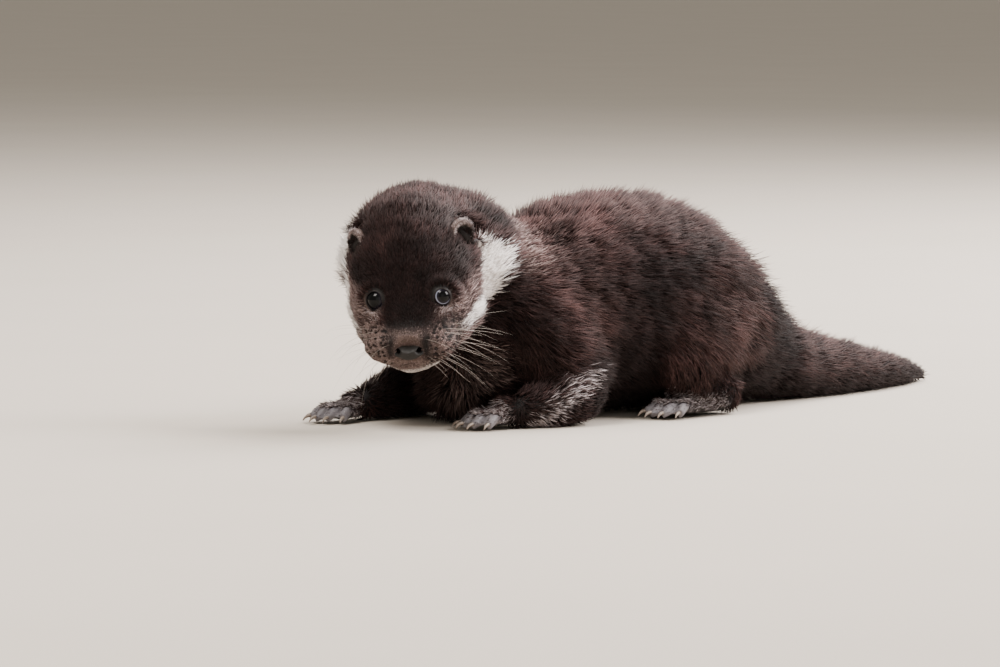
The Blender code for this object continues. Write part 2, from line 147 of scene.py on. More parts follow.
@dataclass
class Surface:
    """A skin of triangles: its points, in metres, and three corners for each triangle."""

    points: Array
    triangles: Array

    @classmethod
    def of_mesh(cls, mesh: Mesh) -> "Surface":
        """The triangles of a Blender mesh."""
        mesh.calc_loop_triangles()
        points = np.zeros(len(mesh.vertices) * 3, np.float32)
        mesh.vertices.foreach_get("co", points)
        corners = np.zeros(len(mesh.loop_triangles) * 3, np.int32)
        mesh.loop_triangles.foreach_get("vertices", corners)
        return cls(points.reshape(-1, 3).astype(np.float64), corners.reshape(-1, 3))

    def crosses(self) -> Array:
        """Each triangle's normal, as long as twice its area."""
        a, b, c = (self.points[self.triangles[:, k]] for k in range(3))
        return np.cross(b - a, c - a)

    def normals(self) -> Array:
        """Each point's normal, one long."""
        crosses = self.crosses()
        total = np.zeros_like(self.points)
        for corner in range(3):
            for axis in range(3):
                total[:, axis] += np.bincount(self.triangles[:, corner], crosses[:, axis], minlength=len(self.points))
        return unit(total)

    def pairs(self) -> Array:
        """The surface's edges, each once."""
        t = self.triangles
        ends = np.sort(np.concatenate([t[:, [0, 1]], t[:, [1, 2]], t[:, [2, 0]]]), axis=1)
        keys = np.unique(ends[:, 0].astype(np.int64) * len(self.points) + ends[:, 1])
        return np.stack([keys // len(self.points), keys % len(self.points)], axis=1)

    def welded(self) -> "Surface":
        """The surface with points in one place made one, and without triangles of no area."""
        cells = np.round(self.points / (0.001 * MM))
        _, first, every = np.unique(cells, axis=0, return_index=True, return_inverse=True)
        t = every.reshape(-1)[self.triangles]
        whole = (t[:, 0] != t[:, 1]) & (t[:, 1] != t[:, 2]) & (t[:, 2] != t[:, 0])
        return Surface(self.points[first], t[whole])

    def largest(self) -> "Surface":
        """The biggest piece that hangs together, without the walls of hollows inside it."""
        ends = self.pairs()
        label = np.arange(len(self.points))
        while True:
            lower = label.copy()
            np.minimum.at(lower, ends[:, 0], label[ends[:, 1]])
            np.minimum.at(lower, ends[:, 1], label[ends[:, 0]])
            lower = lower[lower]
            if (lower == label).all():
                break
            label = lower
        keep = label == np.bincount(label).argmax()
        place = np.cumsum(keep) - 1
        return Surface(self.points[keep], place[self.triangles[keep[self.triangles[:, 0]]]])

    def to_mesh(self, name: str) -> Mesh:
        """A smooth-shaded Blender mesh of the surface."""
        mesh = bpy.data.meshes.new(name)
        count = len(self.triangles)
        mesh.vertices.add(len(self.points))
        mesh.loops.add(count * 3)
        mesh.polygons.add(count)
        mesh.vertices.foreach_set("co", self.points.astype(np.float32).ravel())
        mesh.loops.foreach_set("vertex_index", self.triangles.astype(np.int32).ravel())
        mesh.polygons.foreach_set("loop_start", np.arange(0, count * 3, 3, dtype=np.int32))
        mesh.update(calc_edges=True)
        mesh.shade_smooth()
        return mesh


class Web:
    """The surface's edges, along which values spread from point to point."""

    def __init__(self, surface: Surface) -> None:
        """Args: surface: The surface whose edges carry the values."""
        ends = surface.pairs()
        self.to = np.concatenate([ends[:, 0], ends[:, 1]])
        self.by = np.concatenate([ends[:, 1], ends[:, 0]])
        self.size = len(surface.points)
        self.count = np.maximum(np.bincount(self.to, minlength=self.size), 1)

    def spread(self, values: Array, times: int, share: Array | float = 0.5) -> Array:
        """Moves each value towards its neighbours' mean, over and over.

        Args:
            values: One row per point.
            times: How often.
            share: How far towards the mean each time.

        Returns:
            The softened values.
        """
        flat = values.reshape(self.size, -1).astype(np.float64)
        part = share[:, None] if isinstance(share, Array) else share
        for _ in range(times):
            mean = np.stack([np.bincount(self.to, column[self.by], minlength=self.size) for column in flat.T], axis=1)
            flat = flat + (mean / self.count[:, None] - flat) * part
        return flat.reshape(values.shape)


def box_middle(node: str) -> Vector:
    """The middle of a CAD node's box."""
    low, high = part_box(node)
    return (low + high) / 2


def new_object(name: str, mesh: Mesh) -> Object:
    """A new object in the scene."""
    made = bpy.data.objects.new(name, mesh)
    bpy.context.scene.collection.objects.link(made)
    return made


class Kind(Enum):
    """What a mesh carries at each point: Blender's name for it, and the field that holds it."""

    NUMBER = ("FLOAT", "value")
    FOUR = ("FLOAT_COLOR", "color")


def new_piece(name: str, surface: Surface, slot: str, finish: Material, **carried: Array) -> Object:
    """A new piece that rides on the body.

    Args:
        name: The piece's name.
        surface: Its shape, in place.
        slot: The record's material slot for the piece; not used.
        finish: Its finish.
        carried: What its points carry for the finish, by name: a number each, or four.

    Returns:
        The object, linked to the scene.
    """
    made = new_object(name, surface.to_mesh(name))
    for key, values in carried.items():
        kind, holder = (Kind.NUMBER if values.ndim == 1 else Kind.FOUR).value
        attribute = made.data.attributes.new(key, kind, "POINT")
        attribute.data.foreach_set(holder, values.astype(np.float32).ravel())
    made.data.materials.append(finish)
    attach(made, BODY)
    log.info("%s: %d triangles", name, len(surface.triangles))
    return made


def apply_modifiers(made: Object) -> None:
    """Makes what an object's modifiers do a part of its mesh."""
    graph = bpy.context.evaluated_depsgraph_get()
    mesh = bpy.data.meshes.new_from_object(made.evaluated_get(graph), depsgraph=graph)
    made.modifiers.clear()
    made.data = mesh


# ---- Where things are ----


@dataclass
class HeadFrame:
    """The head's own frame in millimetres: X to the nose, Y to its left, Z to the crown."""

    eye: tuple[float, float, float] = (35.0, 16.3, -2.0)
    nose: tuple[float, float, float] = (55.5, 0.0, -20.5)
    axes: Array = field(init=False)
    origin: Array = field(init=False)

    def __post_init__(self) -> None:
        """Finds the frame from the eyes and the nose of the CAD model."""
        left, right, nose = (box_middle(node) for node in ("eye_left", "eye_right", "nose"))
        side = (left - right).normalized()
        between = (left + right) / 2
        ahead = nose - between
        ahead = (ahead - side * ahead.dot(side)).normalized()
        droop = math.atan2(self.eye[2] - self.nose[2], self.nose[0] - self.eye[0])
        forward = Matrix.Rotation(-droop, 3, side) @ ahead
        up = forward.cross(side)
        self.axes = np.array([forward, side, up])
        self.origin = np.array(between) - (forward * self.eye[0] + up * self.eye[2]) * MM

    def local(self, points: Array) -> Array:
        """World points, in metres, as head points, in millimetres."""
        return (points - self.origin) @ self.axes.T / MM

    def world(self, points: Array) -> Array:
        """Head points, in millimetres, as world points, in metres."""
        return np.asarray(points) * MM @ self.axes + self.origin

    def turned(self, directions: Array) -> Array:
        """Directions in the head as directions in the world."""
        return np.asarray(directions) @ self.axes


class Part(Enum):
    """The parts of the body that the coat tells apart."""

    HEAD = 0
    NECK = 1
    TRUNK = 2
    TAIL = 3
    FORELEG = 4
    HINDLEG = 5
    FOOT = 6


EARS = ("ear_left", "ear_right")
FEET = ("forepaw_left", "forepaw_right", "hindfoot_left", "hindfoot_right")
NODES_OF_PART = {
    Part.HEAD: ("head", "lower_jaw", *EARS),
    Part.NECK: ("neck",),
    Part.TRUNK: ("trunk",),
    Part.TAIL: ("tail_base", "tail_tip"),
    Part.FORELEG: ("foreleg_left", "foreleg_right"),
    Part.HINDLEG: ("hindleg_left", "hindleg_right"),
    Part.FOOT: FEET,
}
PART_OF_NODE = {node: part for part, nodes in NODES_OF_PART.items() for node in nodes}


@dataclass
class Lay:
    """What the coat does at each point of the skin: one row per point."""

    depth: Array
    reach: Array
    lift: Array
    width: Array
    density: Array
    flow: Array
    masks: Array
    part: Array


# ---- The skin ----


@dataclass
class EyeSet:
    """Where one eye sits and how its lids open. Lengths in millimetres, angles in degrees."""

    side: int
    head: HeadFrame
    radius: float = 5.6
    sink: float = 1.9
    lid: float = 0.55
    brim: float = 58.0
    socket: float = 11.5
    outward: float = 20.0
    upward: float = 18.0
    open_wide: float = 43.0
    open_high: float = 49.0
    # Below 1 pushes the eye's rim ring, partly painted reflection, out under the lids.
    ring: float = 1.0

    @property
    def middle(self) -> Array:
        """The ball's middle in the head, a little behind the CAD model's."""
        x, y, z = self.head.eye
        return np.array([x, self.side * y, z]) - self.axes()[0] * self.sink

    def axes(self) -> Array:
        """Rows: out of the opening, towards the ear, and up, in the head."""
        turn, rise = math.radians(self.outward), math.radians(self.upward)
        ahead, aside = math.cos(turn), self.side * math.sin(turn)
        out = np.array([ahead * math.cos(rise), aside * math.cos(rise), math.sin(rise)])
        back = np.array([-math.sin(turn), self.side * math.cos(turn), 0.0])
        return np.array([out, back, np.cross(out, back) * self.side])

    def polar(self, points: Array) -> tuple[Array, Array, Array]:
        """Head points as distance from the ball's middle, angle off the opening's axis, and the way round.

        Args:
            points: Head points in millimetres.

        Returns:
            Distances in millimetres, angles in degrees, and angles round the axis in radians,
            0 towards the ear and a quarter turn up.
        """
        v = (points - self.middle) @ self.axes().T
        far = np.linalg.norm(v, axis=1)
        off = np.degrees(np.arccos(np.clip(v[:, 0] / np.maximum(far, 1e-6), -1, 1)))
        return far, off, np.arctan2(v[:, 2], v[:, 1])

    def opening(self, way: Array) -> Array:
        """How far the lids open, in degrees off the axis, for each way round it."""
        wide, high = np.cos(way), np.sin(way)
        edge = 1.0 / np.sqrt((wide / self.open_wide) ** 2 + (high / self.open_high) ** 2)
        corner = 6.0 * bell(np.angle(np.exp(1j * (way - math.radians(197)))), 0.0, 0.34)
        brow = -3.0 * bell(np.angle(np.exp(1j * (way - math.radians(80)))), 0.0, 0.7)
        return edge + corner + brow


@dataclass
class MouthLine:
    """The closed mouth: points on its line in the head, in millimetres, from the front to one corner."""

    line: tuple[tuple[float, float, float], ...] = (
        (54.0, 0.0, -28.6),
        (53.0, 4.0, -29.6),
        (50.5, 9.0, -31.2),
        (46.0, 14.0, -32.2),
        (39.0, 18.5, -32.4),
        (31.0, 21.5, -31.0),
        (24.0, 23.5, -28.6),
    )
    groove: float = 1.0
    reach: float = 1.15

    def distance(self, points: Array) -> Array:
        """How far head points are from the line, on both sides of the face, in millimetres."""
        place = points * np.array([1.0, 0.0, 1.0])
        place[:, 1] = np.abs(points[:, 1])
        nearest = np.full(len(points), 99.0)
        for start, end in zip(self.line, self.line[1:]):
            a, way = np.array(start), np.array(end) - np.array(start)
            share = np.clip((place - a) @ way / (way @ way), 0.0, 1.0)
            nearest = np.minimum(nearest, np.linalg.norm(place - a - share[:, None] * way, axis=1))
        return nearest


class Spots:
    """Points on the cub, as the markings and the coat's lie ask for them. Lengths in millimetres.

    x, y and z are in the head, and wide is the distance from its middle. rear, aside and height are in the world.
    """

    def __init__(self, points: Array, head: HeadFrame, part: Array) -> None:
        """Works out the points' places.

        Args:
            points: World points in metres.
            head: The head's frame.
            part: Each point's shares of the parts of the body.
        """
        self.in_head = head.local(points)
        self.x, self.y, self.z = self.in_head.T
        self.wide = np.abs(self.y)
        self.world = points / MM
        self.rear, self.aside, self.height = self.world.T
        self.part = part

    def of(self, *which: Part) -> Array:
        """The points' shares of a part of the body, or of several together."""
        return sum(self.part[:, part.value] for part in which)


@dataclass
class Markings:
    """The coat's colours as shares of pale, dark, tan and silver, in places on the body, with painted light and shade
    among them.

    Each marking is where a few slopes meet; their numbers are millimetres in the head or in the world.
    """

    band_tilt: tuple[float, float] = (0.814, 0.581)
    band_along: tuple[float, ...] = (-16.0, -10.0, 3.0, 12.0, 20.0, 32.0, 40.0)
    band_low: tuple[float, ...] = (1.0, -1.0, -4.5, -9.0, -12.0, -6.5, 0.0)
    band_high: tuple[float, ...] = (8.4, 8.4, 7.6, 4.6, 2.3, 5.0, 9.0)
    band_fluff: float = 10.0
    wander: float = 1.3
    wander_size: float = 5.0
    chin: float = 0.34
    # The far rim's pale share, partly painted backlight.
    rim: float = 0.75
    # The nape's tan share, partly painted backlight.
    nape: float = 0.5
    elbow: float = 0.7
    paw: float = 0.5
    freckle_gap: float = 2.2
    freckle_size: float = 0.4
    freckle_edge: float = 0.05

    def masks(self, spots: Spots) -> Array:
        """The four shares at each point.

        Args:
            spots: The points.

        Returns:
            Rows of pale, dark, tan and silver, from 0 to 1.
        """
        wander = self.wander * drift(spots.in_head, self.wander_size, 11)
        head, neck = spots.of(Part.HEAD), spots.of(Part.NECK)
        pale = self._pale(spots, wander)
        snout, under, spot = self._face_lights(spots)
        # The nape's light and the lifted dark of the brown tips are partly painted light.
        nape, elbow, brown_tips_and_painted_highlight = self._nape(spots), self._elbow(spots), self._brushed(spots)
        freckles = self.freckles(spots.in_head) * head
        # The dark share takes painted shade from the underside: the lower body is painted darker.
        dark = np.max([self._mask(spots, wander), self._underside(spots), freckles], axis=0)
        dark = dark * (1.0 - 0.8 * np.max([snout, spot, under], axis=0) * head) * (1.0 - 0.7 * nape)
        dark = dark * (1.0 - 0.8 * brown_tips_and_painted_highlight) * (1.0 - 0.7 * elbow)
        face = np.max([self._face_tan(spots, wander), snout, under, spot], axis=0)
        face = face * np.clip(head + neck * ramp(spots.x, 4.0, 16.0), 0, 1)
        tan = np.max([face, self.nape * nape, self.elbow * elbow], axis=0)
        streaks = 0.09 * ramp(spots.wide, 17.0, 23.0) * ramp(spots.z, 6.0, -2.0) * ramp(spots.x, 2.0, 12.0) * head
        silver = np.max([elbow, self.paw * spots.of(Part.FOOT), streaks, 0.6 * under * head], axis=0)
        plain = 1.0 - pale
        return np.stack([pale, np.clip(dark, 0, 1) * plain, tan * plain, np.clip(silver, 0, 1)], axis=1)

    def _pale(self, spots: Spots, wander: Array) -> Array:
        """The pale band behind each cheek, its fluffy far rim, which is partly painted backlight, and the chin.

        Args:
            spots: The points.
            wander: How far the markings' edges stray there.

        Returns:
            One share a point.
        """
        x, y, z, head = spots.x, spots.y, spots.z, spots.of(Part.HEAD)
        across = self.band_tilt[1] * x + self.band_tilt[0] * z + wander
        along = self.band_tilt[0] * x - self.band_tilt[1] * z
        low_edge = np.interp(along, self.band_along, self.band_low)
        low_edge = low_edge - self.band_fluff * ramp(-y, 0.0, 1.0)
        high_edge = np.interp(along, self.band_along, self.band_high)
        cheek = ramp(across, high_edge + 1.0, high_edge - 1.0) * ramp(across, low_edge - 2.0, low_edge + 2.0)
        cheek *= (
            ramp(spots.wide, 19.0, 24.0)
            * ramp(along + wander, -9.5, -4.5)
            * mix(1.0, 0.35, ramp(along, 16.0, 34.0))
            * ramp(along, 46.0, 36.0)
        )
        # The far rim: pale fluff, partly painted backlight along the head's far outline.
        rim = self.rim * ramp(-y, 12.0, 18.0) * bell(along, -14.0, 11.0)
        rim = rim * ramp(across, 8.0, 2.0) * ramp(across, -26.0, -16.0)
        rim *= head + spots.of(Part.NECK)
        chin = self.chin * ramp(z + wander * 0.5, -31.0, -34.0) * ramp(x, 20.0, 28.0)
        return np.clip(np.max([cheek, rim, chin * head], axis=0), 0, 1)

    @staticmethod
    def _mask(spots: Spots, wander: Array) -> Array:
        """The dark mask: the nose's bridge, round the eyes, the brow, behind the ears and beside the nose pad, where
        it is partly painted shade.

        Args:
            spots: The points.
            wander: How far the markings' edges stray there.

        Returns:
            One share a point.
        """
        x, z, wide = spots.x, spots.z, spots.wide
        bridge = 0.9 * ramp(wide + wander, 14.5, 8.0) * ramp(x, 18.0, 30.0) * ramp(z, -14.0, -10.0)
        orbit = 0.9 * bell(np.hypot(wide - 14.0, z - 3.5), 0.0, 8.0) * ramp(x, 20.0, 28.0) * ramp(z, -6.0, -1.0)
        brow = ramp(z, -2.0, 3.5) * ramp(x, -8.0, 20.0) * ramp(wide + wander, 36.0, 25.0)
        brow = np.maximum(brow * mix(0.93, 0.7, ramp(z, 8.0, 20.0)), 0.28 * ramp(z, 18.0, 28.0))
        patch = bell(np.hypot(z - 13.0, x + 14.0), 0.0, 10.0) * ramp(wide, 22.0, 30.0)
        # Beside the nose pad: dark fur, partly painted shade in the crease between the pad and the whisker pads.
        beside = 0.95 * bell(wide, 8.6 + 0.6 * wander, 2.2) * ramp(x, 43.0, 46.0) * ramp(z, -11.0, -17.0)
        beside *= ramp(z, -27.0, -23.0)
        return np.max([bridge, orbit, brow, patch, beside], axis=0)

    @staticmethod
    def _underside(spots: Spots) -> Array:
        """The body's darker lower half, partly dark fur and partly painted shade, with less of it on the shoulder and
        chest.

        Args:
            spots: The points.

        Returns:
            One share a point.
        """
        rear, height = spots.rear, spots.height
        # Painted shade: the coat grows darker down from the top of the back, as where less light falls.
        high = ramp(height + 8.0 * drift(spots.world, 22.0, 17), 113.0, 76.0)
        shoulder = bell(rear, -100.0, 28.0) * ramp(height, 34.0, 52.0)
        chest = ramp(rear, -96.0, -114.0) * ramp(height, 56.0, 40.0)
        low = np.maximum(high * (1.0 - 0.85 * shoulder), ramp(height, 50.0, 24.0)) * (1.0 - spots.of(Part.HEAD))
        return low * (1.0 - 0.4 * chest)

    @staticmethod
    def _face_tan(spots: Spots, wander: Array) -> Array:
        """The tan whisker pads, cheeks and throat.

        Args:
            spots: The points.
            wander: How far the markings' edges stray there.

        Returns:
            One share a point.
        """
        x, y, z, wide = spots.x, spots.y, spots.z, spots.wide
        pads = ramp(x, 35.0, 41.0) * ramp(z, -8.0, -13.0)
        pads = pads * mix(0.5, 0.82, ramp(wide + 0.5 * (-16.0 - z), 8.0, 15.0))
        # Painted shade: the left whisker pad gets less tan, so it reads darker.
        pads *= 1.0 - 0.4 * ramp(y, 3.0, 9.0)
        # Painted light and shade: the right cheek gets more tan than the left.
        cheeks = ramp(wide, 16.5, 22.0) * ramp(z, 5.0, -4.0) * ramp(x, 6.0, 18.0) * mix(0.58, 0.34, ramp(y, -1.0, 1.0))
        throat = 0.6 * ramp(z + 0.25 * x + wander, -22.0, -30.0) * ramp(x, 4.0, 16.0)
        return np.max([pads, cheeks, throat], axis=0)

    @staticmethod
    def _face_lights(spots: Spots) -> tuple[Array, Array, Array]:
        """The light places in the mask: over the nose pad, under each eye and above it."""
        x, z, wide = spots.x, spots.z, spots.wide
        snout = 0.72 * ramp(x, 46.0, 48.5) * ramp(wide, 7.5, 4.5) * ramp(z, -11.5, -14.0)
        under = 0.9 * bell(np.hypot(wide - 17.5, (z + 6.6) * 1.3), 0.0, 3.9) * ramp(x, 28.0, 34.0)
        spot = 0.12 * bell(np.hypot(wide - 12.6, z - 5.8), 0.0, 2.2) * ramp(x, 28.0, 32.0)
        return snout, under, spot

    @staticmethod
    def _nape(spots: Spots) -> Array:
        """The light fluff of the nape, mostly on its left: pale fur, partly painted backlight."""
        nape = spots.of(Part.NECK, Part.TRUNK) * bell(spots.rear, -124.0, 22.0) * ramp(spots.height, 62.0, 92.0)
        return nape * mix(0.08, 1.0, ramp(spots.aside, 4.0, -18.0))

    @staticmethod
    def _elbow(spots: Spots) -> Array:
        """The silver brush on the back of each forearm, strong on the left and faint on the right."""
        crest = bell((spots.rear - spots.height + 134.0) / 1.414, 2.5, 6.5) * ramp(spots.height, 34.0, 27.0)
        share = mix(0.6, 0.12, ramp(spots.aside, -1.0, 1.0))
        return share * spots.of(Part.FORELEG) * crest * ramp(np.abs(spots.aside), 40.0, 50.0)

    @staticmethod
    def _brushed(spots: Spots) -> Array:
        """Where the dark gives way to brown tips: painted highlight on the outer thighs, the tail's top and the rump's
        top, and the paws' own colour.
        """
        # Painted highlight: the lit outer thighs and the tops of the tail and rump are less dark.
        thighs = spots.of(Part.HINDLEG) * ramp(np.abs(spots.aside), 34.0, 46.0) * ramp(spots.height, -4.0, 10.0)
        tail = spots.of(Part.TAIL) * ramp(spots.height, 6.0, 22.0)
        rump = ramp(spots.rear, -16.0, 30.0) * ramp(spots.height, 56.0, 84.0)
        return np.max([thighs, tail, rump, spots.of(Part.FOOT)], axis=0)

    def freckles(self, h: Array) -> Array:
        """The dark dots on the whisker pads, one at each whisker's root: their share at head points."""
        x, y, z = h.T
        pads = ramp(x, 34.0, 40.0) * ramp(z, -7.0, -12.0) * ramp(np.abs(y), 6.0, 9.5)
        # Bigger dots on the left pad, which darken it: painted shade, as with its tan.
        size = self.freckle_size + 0.06 * ramp(y, 3.0, 9.0)
        return pads * ramp(speckle(h, self.freckle_gap, 31) - size, self.freckle_edge, -self.freckle_edge)


class Skin:
    """One skin for the whole cub, inside the CAD model's outline by the depth of the coat."""

    NOSE_POINT = (62.0, 0.0, -22.0)
    NOSE_SEAT = (54.0, 0.0, -21.5)
    NOSE_REACH = (9.0, 11.0, 8.0)
    VOXEL = 0.95 * MM
    SWELL = 0.25 * MM
    BODY_SHARE = 0.2
    FINE_HEAD = -16.0
    FINE_MOUTH = 4.0
    FINE_EYE = 11.5
    SHRINK_STEPS = 5
    FILLS = (
        (34.5, 27.5, 79.5, 5.5),
        (38.0, 29.5, 75.0, 6.5),
        (41.5, 29.0, 70.5, 6.5),
        (44.5, 29.0, 65.5, 6.5),
        (48.5, 30.0, 58.0, 6.5),
        (52.5, 31.5, 50.0, 5.5),
    )

    def __init__(
        self, head: HeadFrame, eyes: list[EyeSet], ears: list["Ear"], mouth: MouthLine, markings: Markings
    ) -> None:
        """Shapes the skin and lays the coat on it.

        Args:
            head: The head's frame.
            eyes: Both eyes.
            ears: Both ears.
            mouth: The mouth's line.
            markings: The coat's colours.
        """
        self.head, self.eyes, self.ears, self.mouth, self.markings = head, eyes, ears, mouth, markings
        self.surface = self._hull()
        self.web = Web(self.surface)
        self.lay = self._lay()
        self._shrink()
        self._sculpt()
        self._part_toes()
        self._add_ears()

    def _hull(self) -> Surface:
        """The flesh nodes fused into one skin, fine on the head and feet and coarse elsewhere."""
        whole = bmesh.new()
        for node in PART_OF_NODE:
            if node not in EARS:
                self._add_swollen(whole, node)
        # The far thigh's crease is filled with balls: the coat closes it.
        for *place, radius in self.FILLS:
            move = Matrix.Translation(Vector(place) * MM)
            bmesh.ops.create_icosphere(whole, subdivisions=3, radius=radius * MM, matrix=move)
        mesh = bpy.data.meshes.new("hull")
        whole.to_mesh(mesh)
        whole.free()
        made = new_object("hull", mesh)
        fuse = made.modifiers.new("Fuse", "REMESH")
        fuse.mode = "VOXEL"
        fuse.voxel_size = self.VOXEL
        soften = made.modifiers.new("Soften", "SMOOTH")
        soften.factor = 0.5
        soften.iterations = 5
        apply_modifiers(made)
        points = Surface.of_mesh(made.data).points
        fine = self.head.local(points)[:, 0] > self.FINE_HEAD
        for foot in FEET:
            low, high = (np.array(corner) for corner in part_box(foot))
            fine |= ((points > low - 2 * MM) & (points < high + 2 * MM)).all(axis=1)
        coarse = made.vertex_groups.new(name="coarse")
        coarse.add([int(k) for k in np.flatnonzero(~fine)], 1.0, "REPLACE")
        thin = made.modifiers.new("Thin", "DECIMATE")
        thin.ratio = self.BODY_SHARE + (1.0 - self.BODY_SHARE) * float(fine.mean())
        thin.vertex_group = coarse.name
        apply_modifiers(made)
        surface = self._finer(made.data).largest()
        bpy.data.objects.remove(made)
        log.info("hull: %d triangles", len(surface.triangles))
        return surface

    def _add_swollen(self, whole: bmesh.types.BMesh, node: str) -> None:
        """Adds a CAD node, swollen a little, so that it overlaps its neighbours."""
        piece = bmesh.new()
        piece.from_mesh(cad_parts[node].data)
        bmesh.ops.remove_doubles(piece, verts=piece.verts, dist=WELD)
        piece.normal_update()
        for vert in piece.verts:
            vert.co += vert.normal * self.SWELL
        mesh = bpy.data.meshes.new("swollen")
        piece.to_mesh(mesh)
        piece.free()
        whole.from_mesh(mesh)
        bpy.data.meshes.remove(mesh)

    def _finer(self, mesh: Mesh) -> Surface:
        """Splits the triangles round the eyes, nose and mouth, where the smallest forms are."""
        bm = bmesh.new()
        bm.from_mesh(mesh)
        bmesh.ops.triangulate(bm, faces=bm.faces)
        points = self.head.local(np.array([vert.co for vert in bm.verts]))
        near = self.mouth.distance(points) < self.FINE_MOUTH
        near |= (points[:, 0] > 46.0) & (points[:, 2] < -8.0)
        for eye in self.eyes:
            near |= eye.polar(points)[0] < self.FINE_EYE
        bm.verts.ensure_lookup_table()
        edges = [e for e in bm.edges if near[e.verts[0].index] and near[e.verts[1].index]]
        bmesh.ops.subdivide_edges(bm, edges=edges, cuts=1, use_grid_fill=True)
        bmesh.ops.triangulate(bm, faces=bm.faces)
        fine = bpy.data.meshes.new("fine")
        bm.to_mesh(fine)
        bm.free()
        return Surface.of_mesh(fine)

    def _parts(self) -> Array:
        """Each point's shares of the parts of the body, softened where two meet."""
        corners, faces, owner = [], [], []
        for node, part in PART_OF_NODE.items():
            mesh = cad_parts[node].data
            base = len(corners)
            corners += [vert.co for vert in mesh.vertices]
            faces += [[base + k for k in face.vertices] for face in mesh.polygons]
            owner += [part.value] * len(mesh.polygons)
        tree = BVHTree.FromPolygons(corners, faces)
        nearest = [tree.find_nearest(Vector(point))[2] for point in self.surface.points]
        shares = np.zeros((len(nearest), len(Part)))
        shares[np.arange(len(nearest)), np.array(owner)[nearest]] = 1.0
        return self.web.spread(shares, 14)

    def _lay(self) -> Lay:
        """Works out the coat's depth, lie, thickness and colours on every point."""
        spots = Spots(self.surface.points, self.head, self._parts())
        head, foot = spots.of(Part.HEAD), spots.of(Part.FOOT)
        toe = self.toes(self.surface.points)
        masks = self.markings.masks(spots)
        fine = mix(0.44, 0.23, ramp(spots.x, 10.0, 44.0))
        return Lay(
            depth=self._depth(spots, toe),
            reach=self._reach(spots, masks[:, 0]),
            lift=self._lift(spots, toe),
            width=mix(0.55, fine, head) - 0.2 * foot,
            density=1.0 + head * mix(1.2, 4.2, ramp(spots.x, 0.0, 46.0)) + foot * mix(1.4, -0.8, toe),
            flow=self._flow(spots),
            masks=masks,
            part=spots.part,
        )

    @staticmethod
    def _depth(spots: Spots, toe: Array) -> Array:
        """The coat's depth, least on the snout and toes.

        Args:
            spots: The skin's points.
            toe: How far each is towards the bare toes.

        Returns:
            Millimetres for each point.
        """
        x, height = spots.x, spots.height
        face = ramp(x, 44.0, 6.0)
        sides = ramp(spots.wide, 18.0, 27.0) * ramp(x + 6.0 * (spots.y > 0), 30.0, 12.0) * ramp(spots.z, 14.0, 2.0)
        head_depth = np.maximum(mix(0.75, 3.6, face), 4.6 * sides) + 1.6 * ramp(x, 2.0, -22.0)
        along = (spots.rear - 60.0) / 155.0
        return (
            spots.of(Part.HEAD) * head_depth
            + spots.of(Part.NECK) * mix(6.0, 8.0, ramp(height, 10.0, 60.0))
            + spots.of(Part.TRUNK) * mix(4.5, 8.4, ramp(height, 4.0, 22.0))
            + spots.of(Part.TAIL) * (mix(7.4, 3.4, ramp(along, 0.0, 1.0)) * mix(0.6, 1.0, ramp(height, 0.5, 6.0)))
            + spots.of(Part.FORELEG, Part.HINDLEG) * mix(3.0, 7.2, ramp(height, 12.0, 40.0))
            + spots.of(Part.FOOT) * mix(2.0, 0.4, toe)
        )

    @staticmethod
    def _breast(spots: Spots) -> Array:
        """The shaggy breast, low under the neck."""
        return spots.of(Part.NECK, Part.TRUNK) * ramp(spots.height, 30.0, 12.0) * ramp(spots.rear, -95.0, -112.0)

    def _lift(self, spots: Spots, toe: Array) -> Array:
        """How steeply the coat stands, in degrees off the skin."""
        head_lift = mix(20.0, 14.0, ramp(spots.x, 20.0, 46.0)) + 10.0 * ramp(spots.x, 4.0, -18.0)
        lift = (
            spots.of(Part.HEAD) * head_lift
            + spots.of(Part.NECK, Part.TRUNK) * mix(40.0, 50.0, ramp(spots.rear, -20.0, -70.0))
            + spots.of(Part.TAIL) * 34.0
            + spots.of(Part.FORELEG, Part.HINDLEG) * 34.0
            + spots.of(Part.FOOT) * mix(24.0, 12.0, toe)
        )
        return lift + 18.0 * self._breast(spots)

    def _reach(self, spots: Spots, pale: Array) -> Array:
        """How much of its depth the coat fills: short by the ears and on the pads, long on the rump and breast.

        Args:
            spots: The skin's points.
            pale: Their pale share.

        Returns:
            One share a point.
        """
        head, height, rear = spots.of(Part.HEAD), spots.height, spots.rear
        reach = np.ones(len(height))
        for ear in self.ears:
            reach *= mix(0.4, 1.0, ramp(np.linalg.norm(spots.in_head - ear.middle, axis=1), 8.0, 12.5))
        reach *= 1.0 - 0.28 * head * ramp(spots.z, 18.0, 32.0) - 0.07 * spots.of(Part.TRUNK)
        pads = head * ramp(spots.x, 34.0, 40.0) * ramp(spots.z, -7.0, -12.0)
        reach *= (1.0 - 0.68 * pads) * (1.0 - 0.55 * pale * (spots.y > 0))
        nape = spots.of(Part.NECK) + spots.of(Part.TRUNK) * ramp(rear, -84.0, -100.0)
        reach *= 1.0 - 0.5 * nape * ramp(height, 82.0, 98.0)
        rump = spots.of(Part.TRUNK, Part.TAIL) * ramp(rear, 14.0, 44.0) * ramp(rear, 136.0, 104.0)
        reach *= 1.0 + 0.38 * rump * ramp(height, 34.0, 60.0)
        return reach * (1.0 + 0.9 * self._breast(spots))

    @staticmethod
    def toes(points: Array) -> Array:
        """How far points are towards the toes, which are nearly bare, from the furry paw: 0 to 1."""
        claws = np.array([box_middle(name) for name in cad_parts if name.startswith("claw_")])
        nearest = np.linalg.norm(points[:, None] - claws[None], axis=2).min(axis=1) / MM
        return ramp(nearest, 15.0, 7.0)

